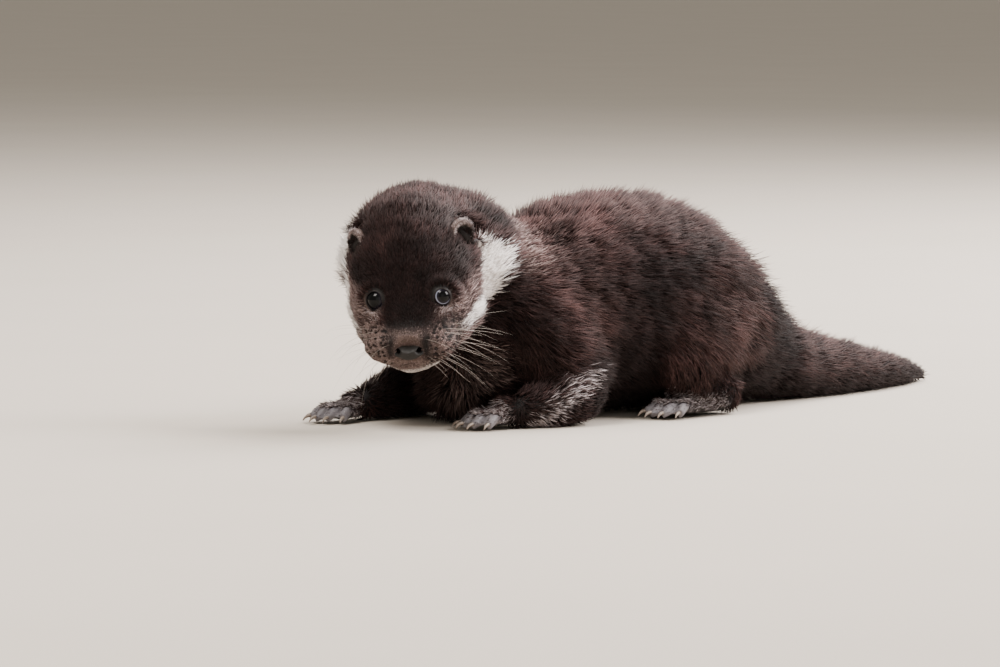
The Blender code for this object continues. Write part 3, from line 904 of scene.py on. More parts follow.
    def _flow(self, spots: Spots) -> Array:
        """The way the coat lies: away from the nose, along the body, down the legs, out to the toes.

        Args:
            spots: The skin's points.

        Returns:
            One direction a point, in the world.
        """
        by = {p: spots.part[:, p.value : p.value + 1] for p in Part}
        h, height = spots.in_head, spots.world[:, 2:3]
        away = unit(h - np.array(self.NOSE_POINT))
        back = unit(away + np.array([-0.35, 0.0, -0.12]) * (1.0 - ramp(spots.x, 42.0, 50.0)[:, None]))
        for eye in self.eyes:
            near = ramp(eye.polar(h)[0], 9.5, 6.0)[:, None]
            back = unit(back * (1.0 - 0.75 * near) + unit(h - eye.middle) * 0.9 * near)
        down = -ramp(np.abs(spots.world[:, 1:2]), 10.0, 45.0)
        one, none = np.ones_like(down), np.zeros_like(down)
        along = np.clip((spots.world[:, 0:1] - 57.0) / 155.0, 0.0, 1.2)
        tail = np.hstack([one, 0.5 * along, -0.15 * (1.0 - along)])
        shin = ramp(height, 34.0, 12.0)
        arm = self._to_foot(unit(np.hstack([one, none, -0.6 + 0.75 * shin])), FEET[:2], 24.0, 13.0)
        thigh = self._to_foot(unit(np.hstack([0.65 * one, none, -0.75 + 0.4 * shin])), FEET[2:], 40.0, 22.0)
        total = (
            by[Part.HEAD] * self.head.turned(back)
            + by[Part.NECK] * unit(np.array([[0.85, 0.1, -0.2]]) + 0.25 * down * np.array([[0, 0, -1.0]]))
            + by[Part.TRUNK] * unit(np.hstack([one, none, 0.42 * down]))
            + by[Part.TAIL] * unit(tail)
            + by[Part.FORELEG] * arm
            + by[Part.HINDLEG] * thigh
            + by[Part.FOOT] * np.array([[-1.0, 0.0, -0.05]])
        )
        return unit(self.web.spread(total, 6))

    def _to_foot(self, above: Array, feet: tuple[str, ...], far: float, near: float) -> Array:
        """Turns the lie of a leg's coat towards its foot as it comes close to it.

        Args:
            above: The lie higher up the leg.
            feet: The CAD model's feet.
            far: Where it starts to turn, in millimetres from the foot's middle.
            near: Where it lies straight to the foot.

        Returns:
            One direction a point.
        """
        points = self.surface.points
        middles = np.array([box_middle(foot) for foot in feet])
        ways = middles[None] - points[:, None]
        nearest = np.linalg.norm(ways, axis=2).argmin(axis=1)
        way = ways[np.arange(len(points)), nearest] / MM
        share = ramp(np.linalg.norm(way, axis=1), far, near)[:, None]
        aside = np.array([[0.0, 1.2, 0.0]]) * np.sign(points[:, 1:2])
        down = (np.array([[0.0, 0.0, -1.6]]) + aside) * share * (1.0 - share)
        return unit(mix(above, unit(way), share) + down)

    def _shrink(self) -> None:
        """Draws the skin in by the coat's depth, a little at a time."""
        soft = np.clip(self.lay.depth / 8.0, 0.05, 0.5)
        for _ in range(self.SHRINK_STEPS):
            inward = unit(self.web.spread(self.surface.normals(), 3))
            self.surface.points -= inward * (self.lay.depth * MM / self.SHRINK_STEPS)[:, None]
            self.surface.points = self.web.spread(self.surface.points, 2, soft)

    def _sculpt(self) -> None:
        """Forms the lids round the eyes, the lips, the groove under the nose and the nose pad's seat."""
        h = self.head.local(self.surface.points)
        for eye in self.eyes:
            h = self._socket(h, eye)
        around = np.linalg.norm((h - np.array(self.NOSE_SEAT)) / self.NOSE_REACH, axis=1)
        h = self.web.spread(h, 90, 0.9 * ramp(around, 1.0, 0.8))
        outward = self.surface.normals() @ self.head.axes.T
        groove = self.mouth.groove * bell(self.mouth.distance(h), 0.0, self.mouth.reach)
        lips = 0.45 * bell(self.mouth.distance(h), 2.4, 1.2) * ramp(h[:, 0], 20.0, 30.0)
        philtrum = 0.7 * bell(h[:, 1], 0.0, 0.8) * ramp(h[:, 0], 48.0, 52.0) * ramp(h[:, 2], -22.0, -25.0)
        philtrum *= ramp(h[:, 2], -31.0, -29.0)
        h -= outward * (groove - lips + philtrum)[:, None]
        self.surface.points = self.head.world(h)

    @staticmethod
    def _socket(h: Array, eye: EyeSet) -> Array:
        """Draws the skin over the eyeball as lids, up to their opening, and lets it fall off to the face.

        Args:
            h: Head points in millimetres.
            eye: The eye.

        Returns:
            The moved points.
        """
        v = (h - eye.middle) @ eye.axes().T
        aside, way = np.hypot(v[:, 1], v[:, 2]), np.arctan2(v[:, 2], v[:, 1])
        radius = eye.radius + eye.lid
        edge = radius * np.sin(np.radians(eye.opening(way)))
        brim = radius * math.sin(math.radians(eye.brim))
        ball = np.sqrt(radius**2 - np.minimum(aside, brim) ** 2)
        fall = ramp(aside, eye.socket, brim)
        slope = mix(v[:, 0], np.maximum(ball, v[:, 0]), fall)
        height = mix(ball, slope, ramp(aside, edge + 0.3, edge + 2.0))
        height = np.where(aside < edge, 1.0, height)
        near = (aside < eye.socket) & (v[:, 0] > -7.0)
        snap = near & (aside > edge - 0.4) & (aside < edge + 0.25)
        scale = np.where(snap, edge / np.maximum(aside, 1e-6), 1.0)
        height = np.where(snap, np.sqrt(radius**2 - edge**2), height)
        v[:, 1:] *= scale[:, None]
        v[:, 0] = np.where(near, height, v[:, 0])
        return v @ eye.axes() + eye.middle

    def _part_toes(self) -> None:
        """Cuts a furrow between each two toes, and rounds the toes' knuckles."""
        p = self.surface.points / MM
        outward = self.surface.normals()
        change = np.zeros(len(p))
        for foot in FEET:
            words = foot.replace("paw", "").replace("foot", "")
            tips = np.array([box_middle(f"claw_{words}_{k}") for k in range(1, 6)]) / MM
            back = np.array(box_middle(foot)) / MM + np.array([14.0, 0.0, 0.0])
            near = np.flatnonzero(np.linalg.norm(p - tips.mean(axis=0), axis=1) < 34.0)
            spread = []
            for tip in tips:
                way = (back - tip) * np.array([1.0, 1.0, 0.0])
                share = np.clip(((p[near] - tip) @ way) / (way @ way), -0.1, 0.62)
                spread.append(np.linalg.norm((p[near] - tip - share[:, None] * way)[:, :2], axis=1))
            spread = np.sort(np.array(spread), axis=0)
            toe = ramp(np.linalg.norm(p[near][:, None] - tips[None], axis=2).min(axis=1), 17.0, 8.0)
            furrow = bell(spread[1] - spread[0], 0.0, 1.5) * toe
            knuckle = bell(spread[0], 0.0, 1.7) * toe
            change[near] += (0.35 * knuckle - 1.25 * furrow) * ramp(outward[near][:, 2], -0.4, 0.3)
        self.surface.points = self.surface.points + outward * (change * MM)[:, None]

    def _add_ears(self) -> None:
        """Joins the ears to the skin, with a coat of their own on the rim and the back."""
        for ear in self.ears:
            surface, along = ear.surface()
            extra = self._ear_lay(ear, surface, along)
            self.surface = joined([self.surface, surface])
            for name in (item.name for item in fields(Lay)):
                setattr(self.lay, name, np.concatenate([getattr(self.lay, name), getattr(extra, name)]))
        self.web = Web(self.surface)

    def _ear_lay(self, ear: "Ear", surface: Surface, along: Array) -> Lay:
        """The coat of an ear: silver on its rim, dark and thin inside.

        Args:
            ear: The ear.
            surface: Its surface in the world.
            along: How far each point is from the bottom of the cup to the back.

        Returns:
            What the coat does at each of its points.
        """
        count = len(along)
        out = self.head.turned(ear.axes())[0]
        off = surface.points - surface.points.mean(axis=0)
        aside = unit(off - (off @ out)[:, None] * out)
        inside = ramp(along, 0.5, 0.4)
        rim = bell(along, 0.53, 0.11)
        local = (self.head.local(surface.points) - ear.middle) @ ear.axes().T
        back = ramp(ear.side * local[:, 1] / ear.size[0], 0.25, 0.75) * ramp(local[:, 2] / ear.size[1], 0.75, 0.35)
        above = ramp(local[:, 2] / ear.size[1], -0.75, -0.45)
        edge = ramp(along, 0.38, 0.46) * ramp(along, 0.84, 0.7) * (1.0 - 0.75 * back) * above
        dark = mix(0.9, 0.5, inside) * (1.0 - edge)
        part = np.zeros((count, len(Part)))
        part[:, Part.HEAD.value] = 1.0
        return Lay(
            depth=mix(0.9, 0.6, inside),
            reach=np.ones(count),
            lift=mix(24.0, 22.0, rim),
            width=np.full(count, 0.24),
            density=(mix(4.0, 1.3, inside) + 2.0 * rim) * above,
            flow=unit(aside * mix(0.5, 1.0, inside)[:, None] + out * mix(0.9, 0.3, inside)[:, None]),
            masks=np.stack([np.zeros(count), dark, 0.95 * edge, 0.7 * edge], axis=1),
            part=part,
        )

    def dress(self, finish: Material) -> None:
        """Makes the skin's object, which stands for every node of flesh.

        Args:
            finish: The skin's finish.
        """
        h = self.head.local(self.surface.points)
        lips = bell(self.mouth.distance(h), 0.0, 1.1)
        for eye in self.eyes:
            far, off, way = eye.polar(h)
            lips = np.maximum(lips, (far < 9.0) * ramp(off, eye.opening(way) + 11.0, eye.opening(way) + 4.0))
        feet = ramp(self.lay.part[:, Part.FOOT.value], 0.3, 0.7) * self.toes(self.surface.points)
        bare = np.stack([feet, lips, np.zeros(len(h)), np.ones(len(h))], axis=1)
        made = new_piece("skin", self.surface, "coat", finish, marks=self.lay.masks, bare=bare)
        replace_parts(made, *PART_OF_NODE)


# ---- Finishes ----


def linear(colour: str) -> tuple[float, float, float, float]:
    """An sRGB hex colour as the linear colour that nodes take."""
    parts = [int(colour.lstrip("#")[k : k + 2], 16) / 255 for k in (0, 2, 4)]
    bent = [c / 12.92 if c <= 0.04045 else ((c + 0.055) / 1.055) ** 2.4 for c in parts]
    return (*bent, 1.0)


def feed(node: Node, inputs: dict) -> None:
    """Fills a node's inputs, by name or number, each with another node's output, a number or a hex colour."""
    for name, value in inputs.items():
        if isinstance(value, NodeSocket):
            node.id_data.links.new(value, node.inputs[name])
        else:
            node.inputs[name].default_value = linear(value) if isinstance(value, str) else value


def add_node(tree: NodeTree, kind: str, settings: dict, inputs: dict) -> Node:
    """Adds a node to a material.

    Args:
        tree: The material's nodes.
        kind: The node's Blender name, without "ShaderNode".
        settings: Its properties, by name.
        inputs: What its inputs take, as for feed.

    Returns:
        The node.
    """
    made = tree.nodes.new("ShaderNode" + kind)
    for name, value in settings.items():
        setattr(made, name, value)
    feed(made, inputs)
    return made


def new_finish(name: str) -> tuple[Material, NodeTree, Node]:
    """A new material, its nodes and its surface shader."""
    material = bpy.data.materials.new(name)
    material.use_nodes = True
    tree = material.node_tree
    return material, tree, tree.nodes["Principled BSDF"]


# The mix node's settings for colours, and the numbers of its inputs and its output.
COLOURS = {"data_type": "RGBA"}
SHARE, LOW, HIGH, MIXED = 0, 6, 7, 2
TIMES = {"operation": "MULTIPLY"}


@dataclass(frozen=True)
class OtterCoat:
    """Otter underfur and guard hair, grown: dull and soft at the root, with a little sheen at the tips.

    Hair reflects like horn, IOR 1.55, but a woolly cub's coat scatters it, so it looks matt.
    """

    root: str = "#0f0808"
    middle: str = "#211211"
    tip: str = "#503f3d"
    warm: str = "#563e3c"
    # The dark share's colours: dark fur, and painted shade low on the body.
    dark_root: str = "#080505"
    dark_tip: str = "#190f0e"
    pale_root: str = "#e4dad5"
    pale_tip: str = "#fdf8f5"
    tan_root: str = "#41312e"
    tan_tip: str = "#a48f8a"
    silver_tip: str = "#b2a9aa"
    sheen_tint: str = "#cbb9b6"
    roughness: float = 0.62
    sheen: float = 0.04
    warm_patch: float = 24.0 * MM
    rarity: float = 2.4
    hair_shades: tuple[float, float] = (0.6, 1.95)
    clump_shades: tuple[float, float] = (0.55, 1.38)

    def material(self) -> Material:
        """The node material, fed by what each tuft carries."""
        material, tree, shader = new_finish("otter_coat")
        marks = add_node(tree, "Attribute", {"attribute_name": "marks"}, {})
        tuft = add_node(tree, "Attribute", {"attribute_name": "tuft"}, {})
        split = add_node(tree, "SeparateColor", {}, {"Color": marks.outputs["Color"]})
        pale, dark, tan = (split.outputs[k] for k in range(3))
        silver = marks.outputs["Alpha"]
        apart = add_node(tree, "SeparateColor", {}, {"Color": tuft.outputs["Color"]})
        along, chance, clump = (apart.outputs[k] for k in range(3))
        colour = self._brown(tree, along)
        # The tan and dark shares; the dark share holds painted shade low on the body.
        for share, root, tip in ((tan, self.tan_root, self.tan_tip), (dark, self.dark_root, self.dark_tip)):
            marked = add_node(tree, "Mix", COLOURS, {SHARE: along, LOW: root, HIGH: tip}).outputs[MIXED]
            colour = add_node(tree, "Mix", COLOURS, {SHARE: share, LOW: colour, HIGH: marked}).outputs[MIXED]
        gleam = add_node(tree, "Math", TIMES, {0: silver, 1: along}).outputs[0]
        silvered = add_node(tree, "Mix", COLOURS, {SHARE: gleam, LOW: colour, HIGH: self.silver_tip}).outputs[MIXED]
        # Each hair's own shade, and each clump's. White hairs keep theirs.
        rare = add_node(tree, "Math", {"operation": "POWER"}, {0: chance, 1: self.rarity}).outputs[0]
        least, most = self.hair_shades
        shade = add_node(tree, "MapRange", {}, {"Value": rare, "To Min": least, "To Max": most}).outputs[0]
        least, most = self.clump_shades
        clumped = add_node(tree, "MapRange", {}, {"Value": clump, "To Min": least, "To Max": most}).outputs[0]
        both = add_node(tree, "Math", TIMES, {0: shade, 1: clumped}).outputs[0]
        toned = add_node(tree, "VectorMath", {"operation": "SCALE"}, {0: silvered, "Scale": both}).outputs[0]
        pales = add_node(tree, "Mix", COLOURS, {SHARE: along, LOW: self.pale_root, HIGH: self.pale_tip}).outputs[MIXED]
        paled = add_node(tree, "Mix", COLOURS, {SHARE: pale, LOW: toned, HIGH: pales}).outputs[MIXED]
        constants = {
            "Roughness": self.roughness,
            "IOR": 1.55,
            "Specular IOR Level": 0.08,
            "Sheen Weight": self.sheen,
            "Sheen Roughness": 0.4,
            "Sheen Tint": self.sheen_tint,
        }
        feed(shader, {"Base Color": paled} | constants)
        return material

    def _brown(self, tree: NodeTree, along: NodeSocket) -> NodeSocket:
        """The plain brown of a hair from its root to its tip, warmer in soft patches.

        Args:
            tree: The material's nodes.
            along: How far along the hair a place is.

        Returns:
            The colour.
        """
        plain = add_node(tree, "ValToRGB", {}, {0: along})
        steps = plain.color_ramp.elements
        steps[0].position, steps[0].color = 0.0, linear(self.root)
        steps[1].position, steps[1].color = 1.0, linear(self.tip)
        steps.new(0.5).color = linear(self.middle)
        place = add_node(tree, "TexCoord", {}, {}).outputs["Object"]
        patch = add_node(tree, "TexNoise", {}, {"Vector": place, "Scale": 1.0 / self.warm_patch, "Detail": 2.0})
        edges = {"From Min": 0.42, "From Max": 0.66}
        warmth = add_node(tree, "MapRange", {}, {"Value": patch.outputs[0]} | edges).outputs[0]
        warmed = add_node(tree, "Math", TIMES, {0: warmth, 1: along}).outputs[0]
        mixed = {SHARE: warmed, LOW: plain.outputs[0], HIGH: self.warm}
        return add_node(tree, "Mix", COLOURS, mixed).outputs[MIXED]


@dataclass(frozen=True)
class CubSkin:
    """Living skin, bare on the toes and lids, and under the coat elsewhere the shade of the hair's roots."""

    under: str = "#110a0a"
    under_dark: str = "#080505"
    under_pale: str = "#d6cbc5"
    under_tan: str = "#715e58"
    toe: str = "#7f7a7c"
    toe_dark: str = "#4c4950"
    lip: str = "#120e0e"
    crease: float = 1.2 * MM
    grain: float = 0.6 * MM
    mottle: float = 3.0 * MM
    relief: float = 0.15 * MM

    def material(self) -> Material:
        """The node material, with the same markings as the coat."""
        material, tree, shader = new_finish("cub_skin")
        place = add_node(tree, "TexCoord", {}, {}).outputs["Object"]
        fine = add_node(tree, "TexNoise", {}, {"Vector": place, "Scale": 1.0 / self.grain, "Detail": 3.0}).outputs[0]
        rough = add_node(tree, "MapRange", {}, {"Value": fine, "To Min": 0.42, "To Max": 0.68}).outputs[0]
        cells = {"Vector": place, "Scale": 1.0 / self.crease}
        wrinkle = add_node(tree, "TexVoronoi", {"feature": "DISTANCE_TO_EDGE"}, cells).outputs["Distance"]
        edge = add_node(tree, "MapRange", {}, {"Value": wrinkle, "From Min": 0.0, "From Max": 0.12}).outputs[0]
        creased = {"Height": edge, "Strength": 0.35, "Distance": self.relief}
        first = add_node(tree, "Bump", {}, creased).outputs[0]
        grained = {"Height": fine, "Normal": first, "Strength": 0.4, "Distance": self.relief}
        second = add_node(tree, "Bump", {}, grained).outputs[0]
        constants = {"IOR": 1.45, "Specular IOR Level": 0.35}
        feed(shader, {"Base Color": self._colour(tree, place), "Roughness": rough, "Normal": second} | constants)
        return material

    def _colour(self, tree: NodeTree, place: NodeSocket) -> NodeSocket:
        """The markings, then the mottled toes and the dark lips over them.

        Args:
            tree: The material's nodes.
            place: Where a place is on the cub.

        Returns:
            The colour.
        """
        marks = add_node(tree, "Attribute", {"attribute_name": "marks"}, {})
        split = add_node(tree, "SeparateColor", {}, {"Color": marks.outputs["Color"]})
        bare = add_node(tree, "Attribute", {"attribute_name": "bare"}, {})
        bared = add_node(tree, "SeparateColor", {}, {"Color": bare.outputs["Color"]})
        mottle = add_node(tree, "TexNoise", {}, {"Vector": place, "Scale": 1.0 / self.mottle, "Detail": 4.0})
        toes = {SHARE: mottle.outputs[0], LOW: self.toe_dark, HIGH: self.toe}
        toed = add_node(tree, "Mix", COLOURS, toes).outputs[MIXED]
        layers = (
            (split.outputs[2], self.under_tan),
            # The dark share: dark fur, and painted shade low on the body.
            (split.outputs[1], self.under_dark),
            (split.outputs[0], self.under_pale),
            (bared.outputs[0], toed),
            (bared.outputs[1], self.lip),
        )
        colour = self.under
        for share, over in layers:
            colour = add_node(tree, "Mix", COLOURS, {SHARE: share, LOW: colour, HIGH: over}).outputs[MIXED]
        return colour


# ---- The coat ----


class Zone(Enum):
    """The coat's pieces, each with its number of tufts."""

    FACE = ("coat_face", 31500)
    CROWN = ("coat_crown", 27500)
    RUFF = ("coat_ruff", 22500)
    SHOULDERS = ("coat_shoulders", 32000)
    LEFT_SIDE = ("coat_left_side", 32500)
    RIGHT_SIDE = ("coat_right_side", 29500)
    RUMP = ("coat_rump", 31000)
    TAIL = ("coat_tail", 16000)
    LEGS = ("coat_legs", 22500)


class Roots:
    """Where one piece's tufts are rooted."""

    def __init__(self, skin: Skin, host: Array, rng: np.random.Generator) -> None:
        """Scatters the roots over their triangles.

        Args:
            skin: The skin.
            host: The triangle that each tuft is rooted in.
            rng: Where the random draws come from.
        """
        self.lay, self.host, self.count = skin.lay, host, len(host)
        self.corners = skin.surface.triangles[host]
        u, v = rng.random(self.count), rng.random(self.count)
        over = u + v > 1.0
        u[over], v[over] = 1.0 - u[over], 1.0 - v[over]
        self.shares = np.stack([1.0 - u - v, u, v], axis=1)
        self.points = self.at(skin.surface.points)

    def at(self, values: Array) -> Array:
        """A value of the skin's points at each root."""
        return np.einsum("nk,nk...->n...", self.shares, values[self.corners])

    def part(self, which: Part) -> Array:
        """Each root's share of a part of the body."""
        return self.at(self.lay.part)[:, which.value]


@dataclass
class Coat:
    """The coat: solid tufts rooted in the skin, in pieces that each cover a zone of the body.

    A tuft is a closed spindle: its root, three points round its knee, and its tip. Angles are in degrees.
    """

    skin: Skin
    unwrap: "Unwrap"
    bend: float = 0.42
    steeper: float = 12.0
    flatter: float = 10.0
    swirl: tuple[float, float] = (15.0, 13.0)
    unruly_lift: tuple[float, float] = (0.16, 0.22)
    unruly_length: tuple[float, float] = (0.11, 0.14)
    patch: float = 0.003
    seed: int = 4127

    FACES = ((0, 2, 1), (0, 3, 2), (0, 1, 3), (4, 1, 2), (4, 2, 3), (4, 3, 1))
    ALONG = (0.0, 0.45, 0.45, 0.45, 1.0)
    PATCH_SHAPE = ((-0.5, 0.0), (-0.1, -0.5), (-0.1, 0.0), (-0.1, 0.5), (0.5, 0.0))
    NOSE_BARE = (55.0, 0.0, -22.4)
    NOSE_REACH = (4.0, 5.7, 2.0)

    def zones(self) -> Array:
        """Which zone each of the skin's triangles is in, as a number in Zone's order."""
        t = self.skin.surface.triangles
        middle = self.skin.surface.points[t].mean(axis=1)
        main = self.skin.lay.part[t].mean(axis=1).argmax(axis=1)
        x, _, z = self.skin.head.local(middle).T
        rear, aside, height = (middle / MM).T
        is_part = {part: main == part.value for part in Part}
        head, foreleg, hindleg = is_part[Part.HEAD], is_part[Part.FORELEG], is_part[Part.HINDLEG]
        # A triangle is in the first zone that takes it.
        claims = (
            (Zone.FACE, head & (x + 0.55 * z > 20.0) & (x > 10.0)),
            (Zone.CROWN, head & (z > 2.0)),
            (Zone.RUFF, head),
            (Zone.TAIL, is_part[Part.TAIL]),
            (Zone.LEGS, is_part[Part.FOOT] | ((foreleg | hindleg) & (height < 20.0))),
            (Zone.SHOULDERS, is_part[Part.NECK] | foreleg | (rear < -96.0)),
            (Zone.RUMP, hindleg | (rear > 8.0)),
            (Zone.LEFT_SIDE, aside < 0.0),
            (Zone.RIGHT_SIDE, np.ones(len(t), bool)),
        )
        order = list(Zone)
        zone = np.full(len(t), -1)
        for which, where in claims:
            zone[where & (zone < 0)] = order.index(which)
        return zone

    def bald(self) -> Array:
        """Where no tuft grows: inside the lids, on the nose, in the mouth's line and on the soles."""
        skin = self.skin
        h = skin.head.local(skin.surface.points)
        bare = np.zeros(len(h), bool)
        for eye in skin.eyes:
            far, off, way = eye.polar(h)
            bare |= (far < 9.0) & (off < eye.opening(way) + 3.0)
        nose = (h - np.array(self.NOSE_BARE)) / np.array(self.NOSE_REACH)
        bare |= (np.linalg.norm(nose, axis=1) < 1.0) & (h[:, 0] > 45.0)
        bare |= skin.mouth.distance(h) < 0.7
        sole = (skin.surface.normals()[:, 2] < -0.5) & (skin.surface.points[:, 2] < 6 * MM)
        return bare | (sole & (skin.lay.part[:, Part.FOOT.value] > 0.3))

    def grow(self, material: Material) -> None:
        """Makes every piece of the coat.

        Args:
            material: The coat's finish.
        """
        surface = self.skin.surface
        t = surface.triangles
        crosses = surface.crosses()
        area = np.linalg.norm(crosses, axis=1) / 2
        bald = self.bald()[t].any(axis=1)
        below = (surface.points[t][:, :, 2].mean(axis=1) < 3.0 * MM) & (crosses[:, 2] < 0)
        weight = area * self.skin.lay.density[t].mean(axis=1) * ~bald * np.where(below, 0.3, 1.0)
        zone = self.zones()
        normals = unit(self.skin.web.spread(surface.normals(), 2))
        for number, which in enumerate(Zone):
            name, tufts = which.value
            rng = np.random.default_rng(self.seed + number)
            share = np.where(zone == number, weight, 0.0)
            steps = np.concatenate([[0.0], np.cumsum(share)])
            picks = (np.arange(tufts) + rng.random(tufts)) / tufts * steps[-1]
            host = np.clip(np.searchsorted(steps, picks, side="right") - 1, 0, len(t) - 1)
            self._piece(name, Roots(self.skin, host, rng), normals, rng, material)
            per = tufts / max(area[zone == number].sum() * 1e6, 1e-9)
            log.info("%s: %d tufts, %.2f to a square millimetre", name, tufts, per)

    def _piece(self, name: str, roots: Roots, normals: Array, rng: np.random.Generator, material: Material) -> None:
        """Makes one piece of the coat.

        Args:
            name: Its name.
            roots: Where its tufts are rooted.
            normals: The skin's softened normals.
            rng: Where its random draws come from.
            material: Its finish.
        """
        normal = unit(roots.at(normals))
        flow = roots.at(roots.lay.flow)
        flow = unit(flow - normal * (flow * normal).sum(axis=1, keepdims=True))
        masks = self._masks(roots, flow, rng)
        points = self._spindles(roots, normal, flow, rng)
        count, each = roots.count, len(self.ALONG)
        triangles = (np.array(self.FACES)[None] + each * np.arange(count)[:, None, None]).reshape(-1, 3)
        chance, clump = rng.random(count), 0.5 + 0.5 * drift(roots.points / MM, 5.0, 9)
        along = np.tile(self.ALONG, count)
        tuft = np.stack([along, np.repeat(chance, each), np.repeat(clump, each), np.ones(count * each)], axis=1)
        spindles = Surface(points.reshape(-1, 3), triangles)
        made = new_piece(name, spindles, "coat", material, marks=np.repeat(masks, each, axis=0), tuft=tuft)
        self._add_map(made.data, roots, triangles)

    def _masks(self, roots: Roots, flow: Array, rng: np.random.Generator) -> Array:
        """The markings of each tuft: where one fades, marked hairs stand among plain ones.

        Args:
            roots: Where the tufts are rooted.
            flow: The way the coat lies there.
            rng: Where the random draws come from.

        Returns:
            Rows of pale, dark, tan and silver.
        """
        masks = roots.at(roots.lay.masks)
        mixed = [0, 2, 3]
        draw = rng.random(roots.count)[:, None] * np.array([0.35, 0.75, 0.75])
        masks[:, mixed] = ramp(masks[:, mixed], draw, draw + 0.25)
        local = self.skin.head.local(roots.points + flow * 0.4 * MM)
        freckle = self.skin.markings.freckles(local) * roots.part(Part.HEAD)
        masks[:, 1] = np.maximum(masks[:, 1] * (1.0 - ramp(masks[:, 0], 0.2, 0.8)), freckle)
        return masks

    def _spindles(self, roots: Roots, normal: Array, flow: Array, rng: np.random.Generator) -> Array:
        """The tufts' shapes.

        Args:
            roots: Where they are rooted.
            normal: The way out of the skin at each root.
            flow: The way the coat lies there.
            rng: Where the random draws come from.

        Returns:
            Five points a tuft, in the world.
        """
        root, lay = roots.points, roots.lay
        mm = root / MM
        depth, width = roots.at(lay.depth), roots.at(lay.width)
        across = np.cross(normal, flow)
        wave = drift(mm, 7.0, 3) + 0.6 * drift(mm, 3.2, 5)
        swirl = np.radians(self.swirl[0] * wave + self.swirl[1] * rng.normal(size=roots.count))[:, None]
        flow = flow * np.cos(swirl) + across * np.sin(swirl)
        clump = drift(mm, 4.0, 7)
        woolly = 1.0 + ramp(width, 0.45, 0.54) * (1.0 - 0.8 * roots.part(Part.TAIL))
        clumped, single = self.unruly_lift
        lift = roots.at(lay.lift) * (1.0 + clumped * woolly * clump + single * rng.normal(size=roots.count))
        rise = np.radians(np.clip(lift + self.steeper, 8.0, 86.0))[:, None]
        lie = np.radians(np.clip(lift - self.flatter, 3.0, 75.0))[:, None]
        base = np.radians(roots.at(lay.lift))
        reach = self.bend * np.sin(base + 0.21) + (1.0 - self.bend) * np.sin(base - 0.17)
        length = roots.at(lay.reach) * depth / np.maximum(reach, 0.25)
        clumped, single = self.unruly_length
        unruly = 1.0 + clumped * woolly * clump + single * rng.normal(size=roots.count)
        length = length * np.clip(unruly, 0.5, 1.35)
        length = np.maximum(length, mix(1.3, 0.6, ramp(width, 0.4, 0.26)))[:, None] * MM
        first = flow * np.cos(rise) + normal * np.sin(rise)
        second = flow * np.cos(lie) + normal * np.sin(lie)
        knee = root + first * length * self.bend
        tip = knee + second * length * (1.0 - self.bend)
        side = unit(np.cross(first, normal) + 1e-9)
        other = np.cross(side, first)
        girth = (width * MM * (0.8 + 0.4 * rng.random(roots.count)))[:, None]
        turn = rng.random(roots.count) * math.tau
        ring = []
        for k in range(3):
            angle = (turn + k * math.tau / 3)[:, None]
            ring.append(knee + (side * np.cos(angle) * 0.55 + other * np.sin(angle) * 0.4) * girth)
        start = root - normal * np.minimum(0.5 * MM, 0.4 * depth[:, None] * MM)
        points = np.stack([start, *ring, tip], axis=1)
        points[..., 2] = np.maximum(points[..., 2], 0.15 * MM)
        return points

    def _add_map(self, mesh: Mesh, roots: Roots, triangles: Array) -> None:
        """Gives each tuft a small patch of the bake's map, at its root's place on the skin's unwrap."""
        place = self.unwrap.at(roots.host, roots.shares)
        spots = np.array(self.PATCH_SHAPE) * self.patch
        patches = np.clip(place[:, None, :] + spots[None], 0.0, 1.0).reshape(-1, 2)
        layer = mesh.uv_layers.new(name=BAKE_MAP, do_init=False)
        layer.uv.foreach_set("vector", patches[triangles.ravel()].astype(np.float32).ravel())


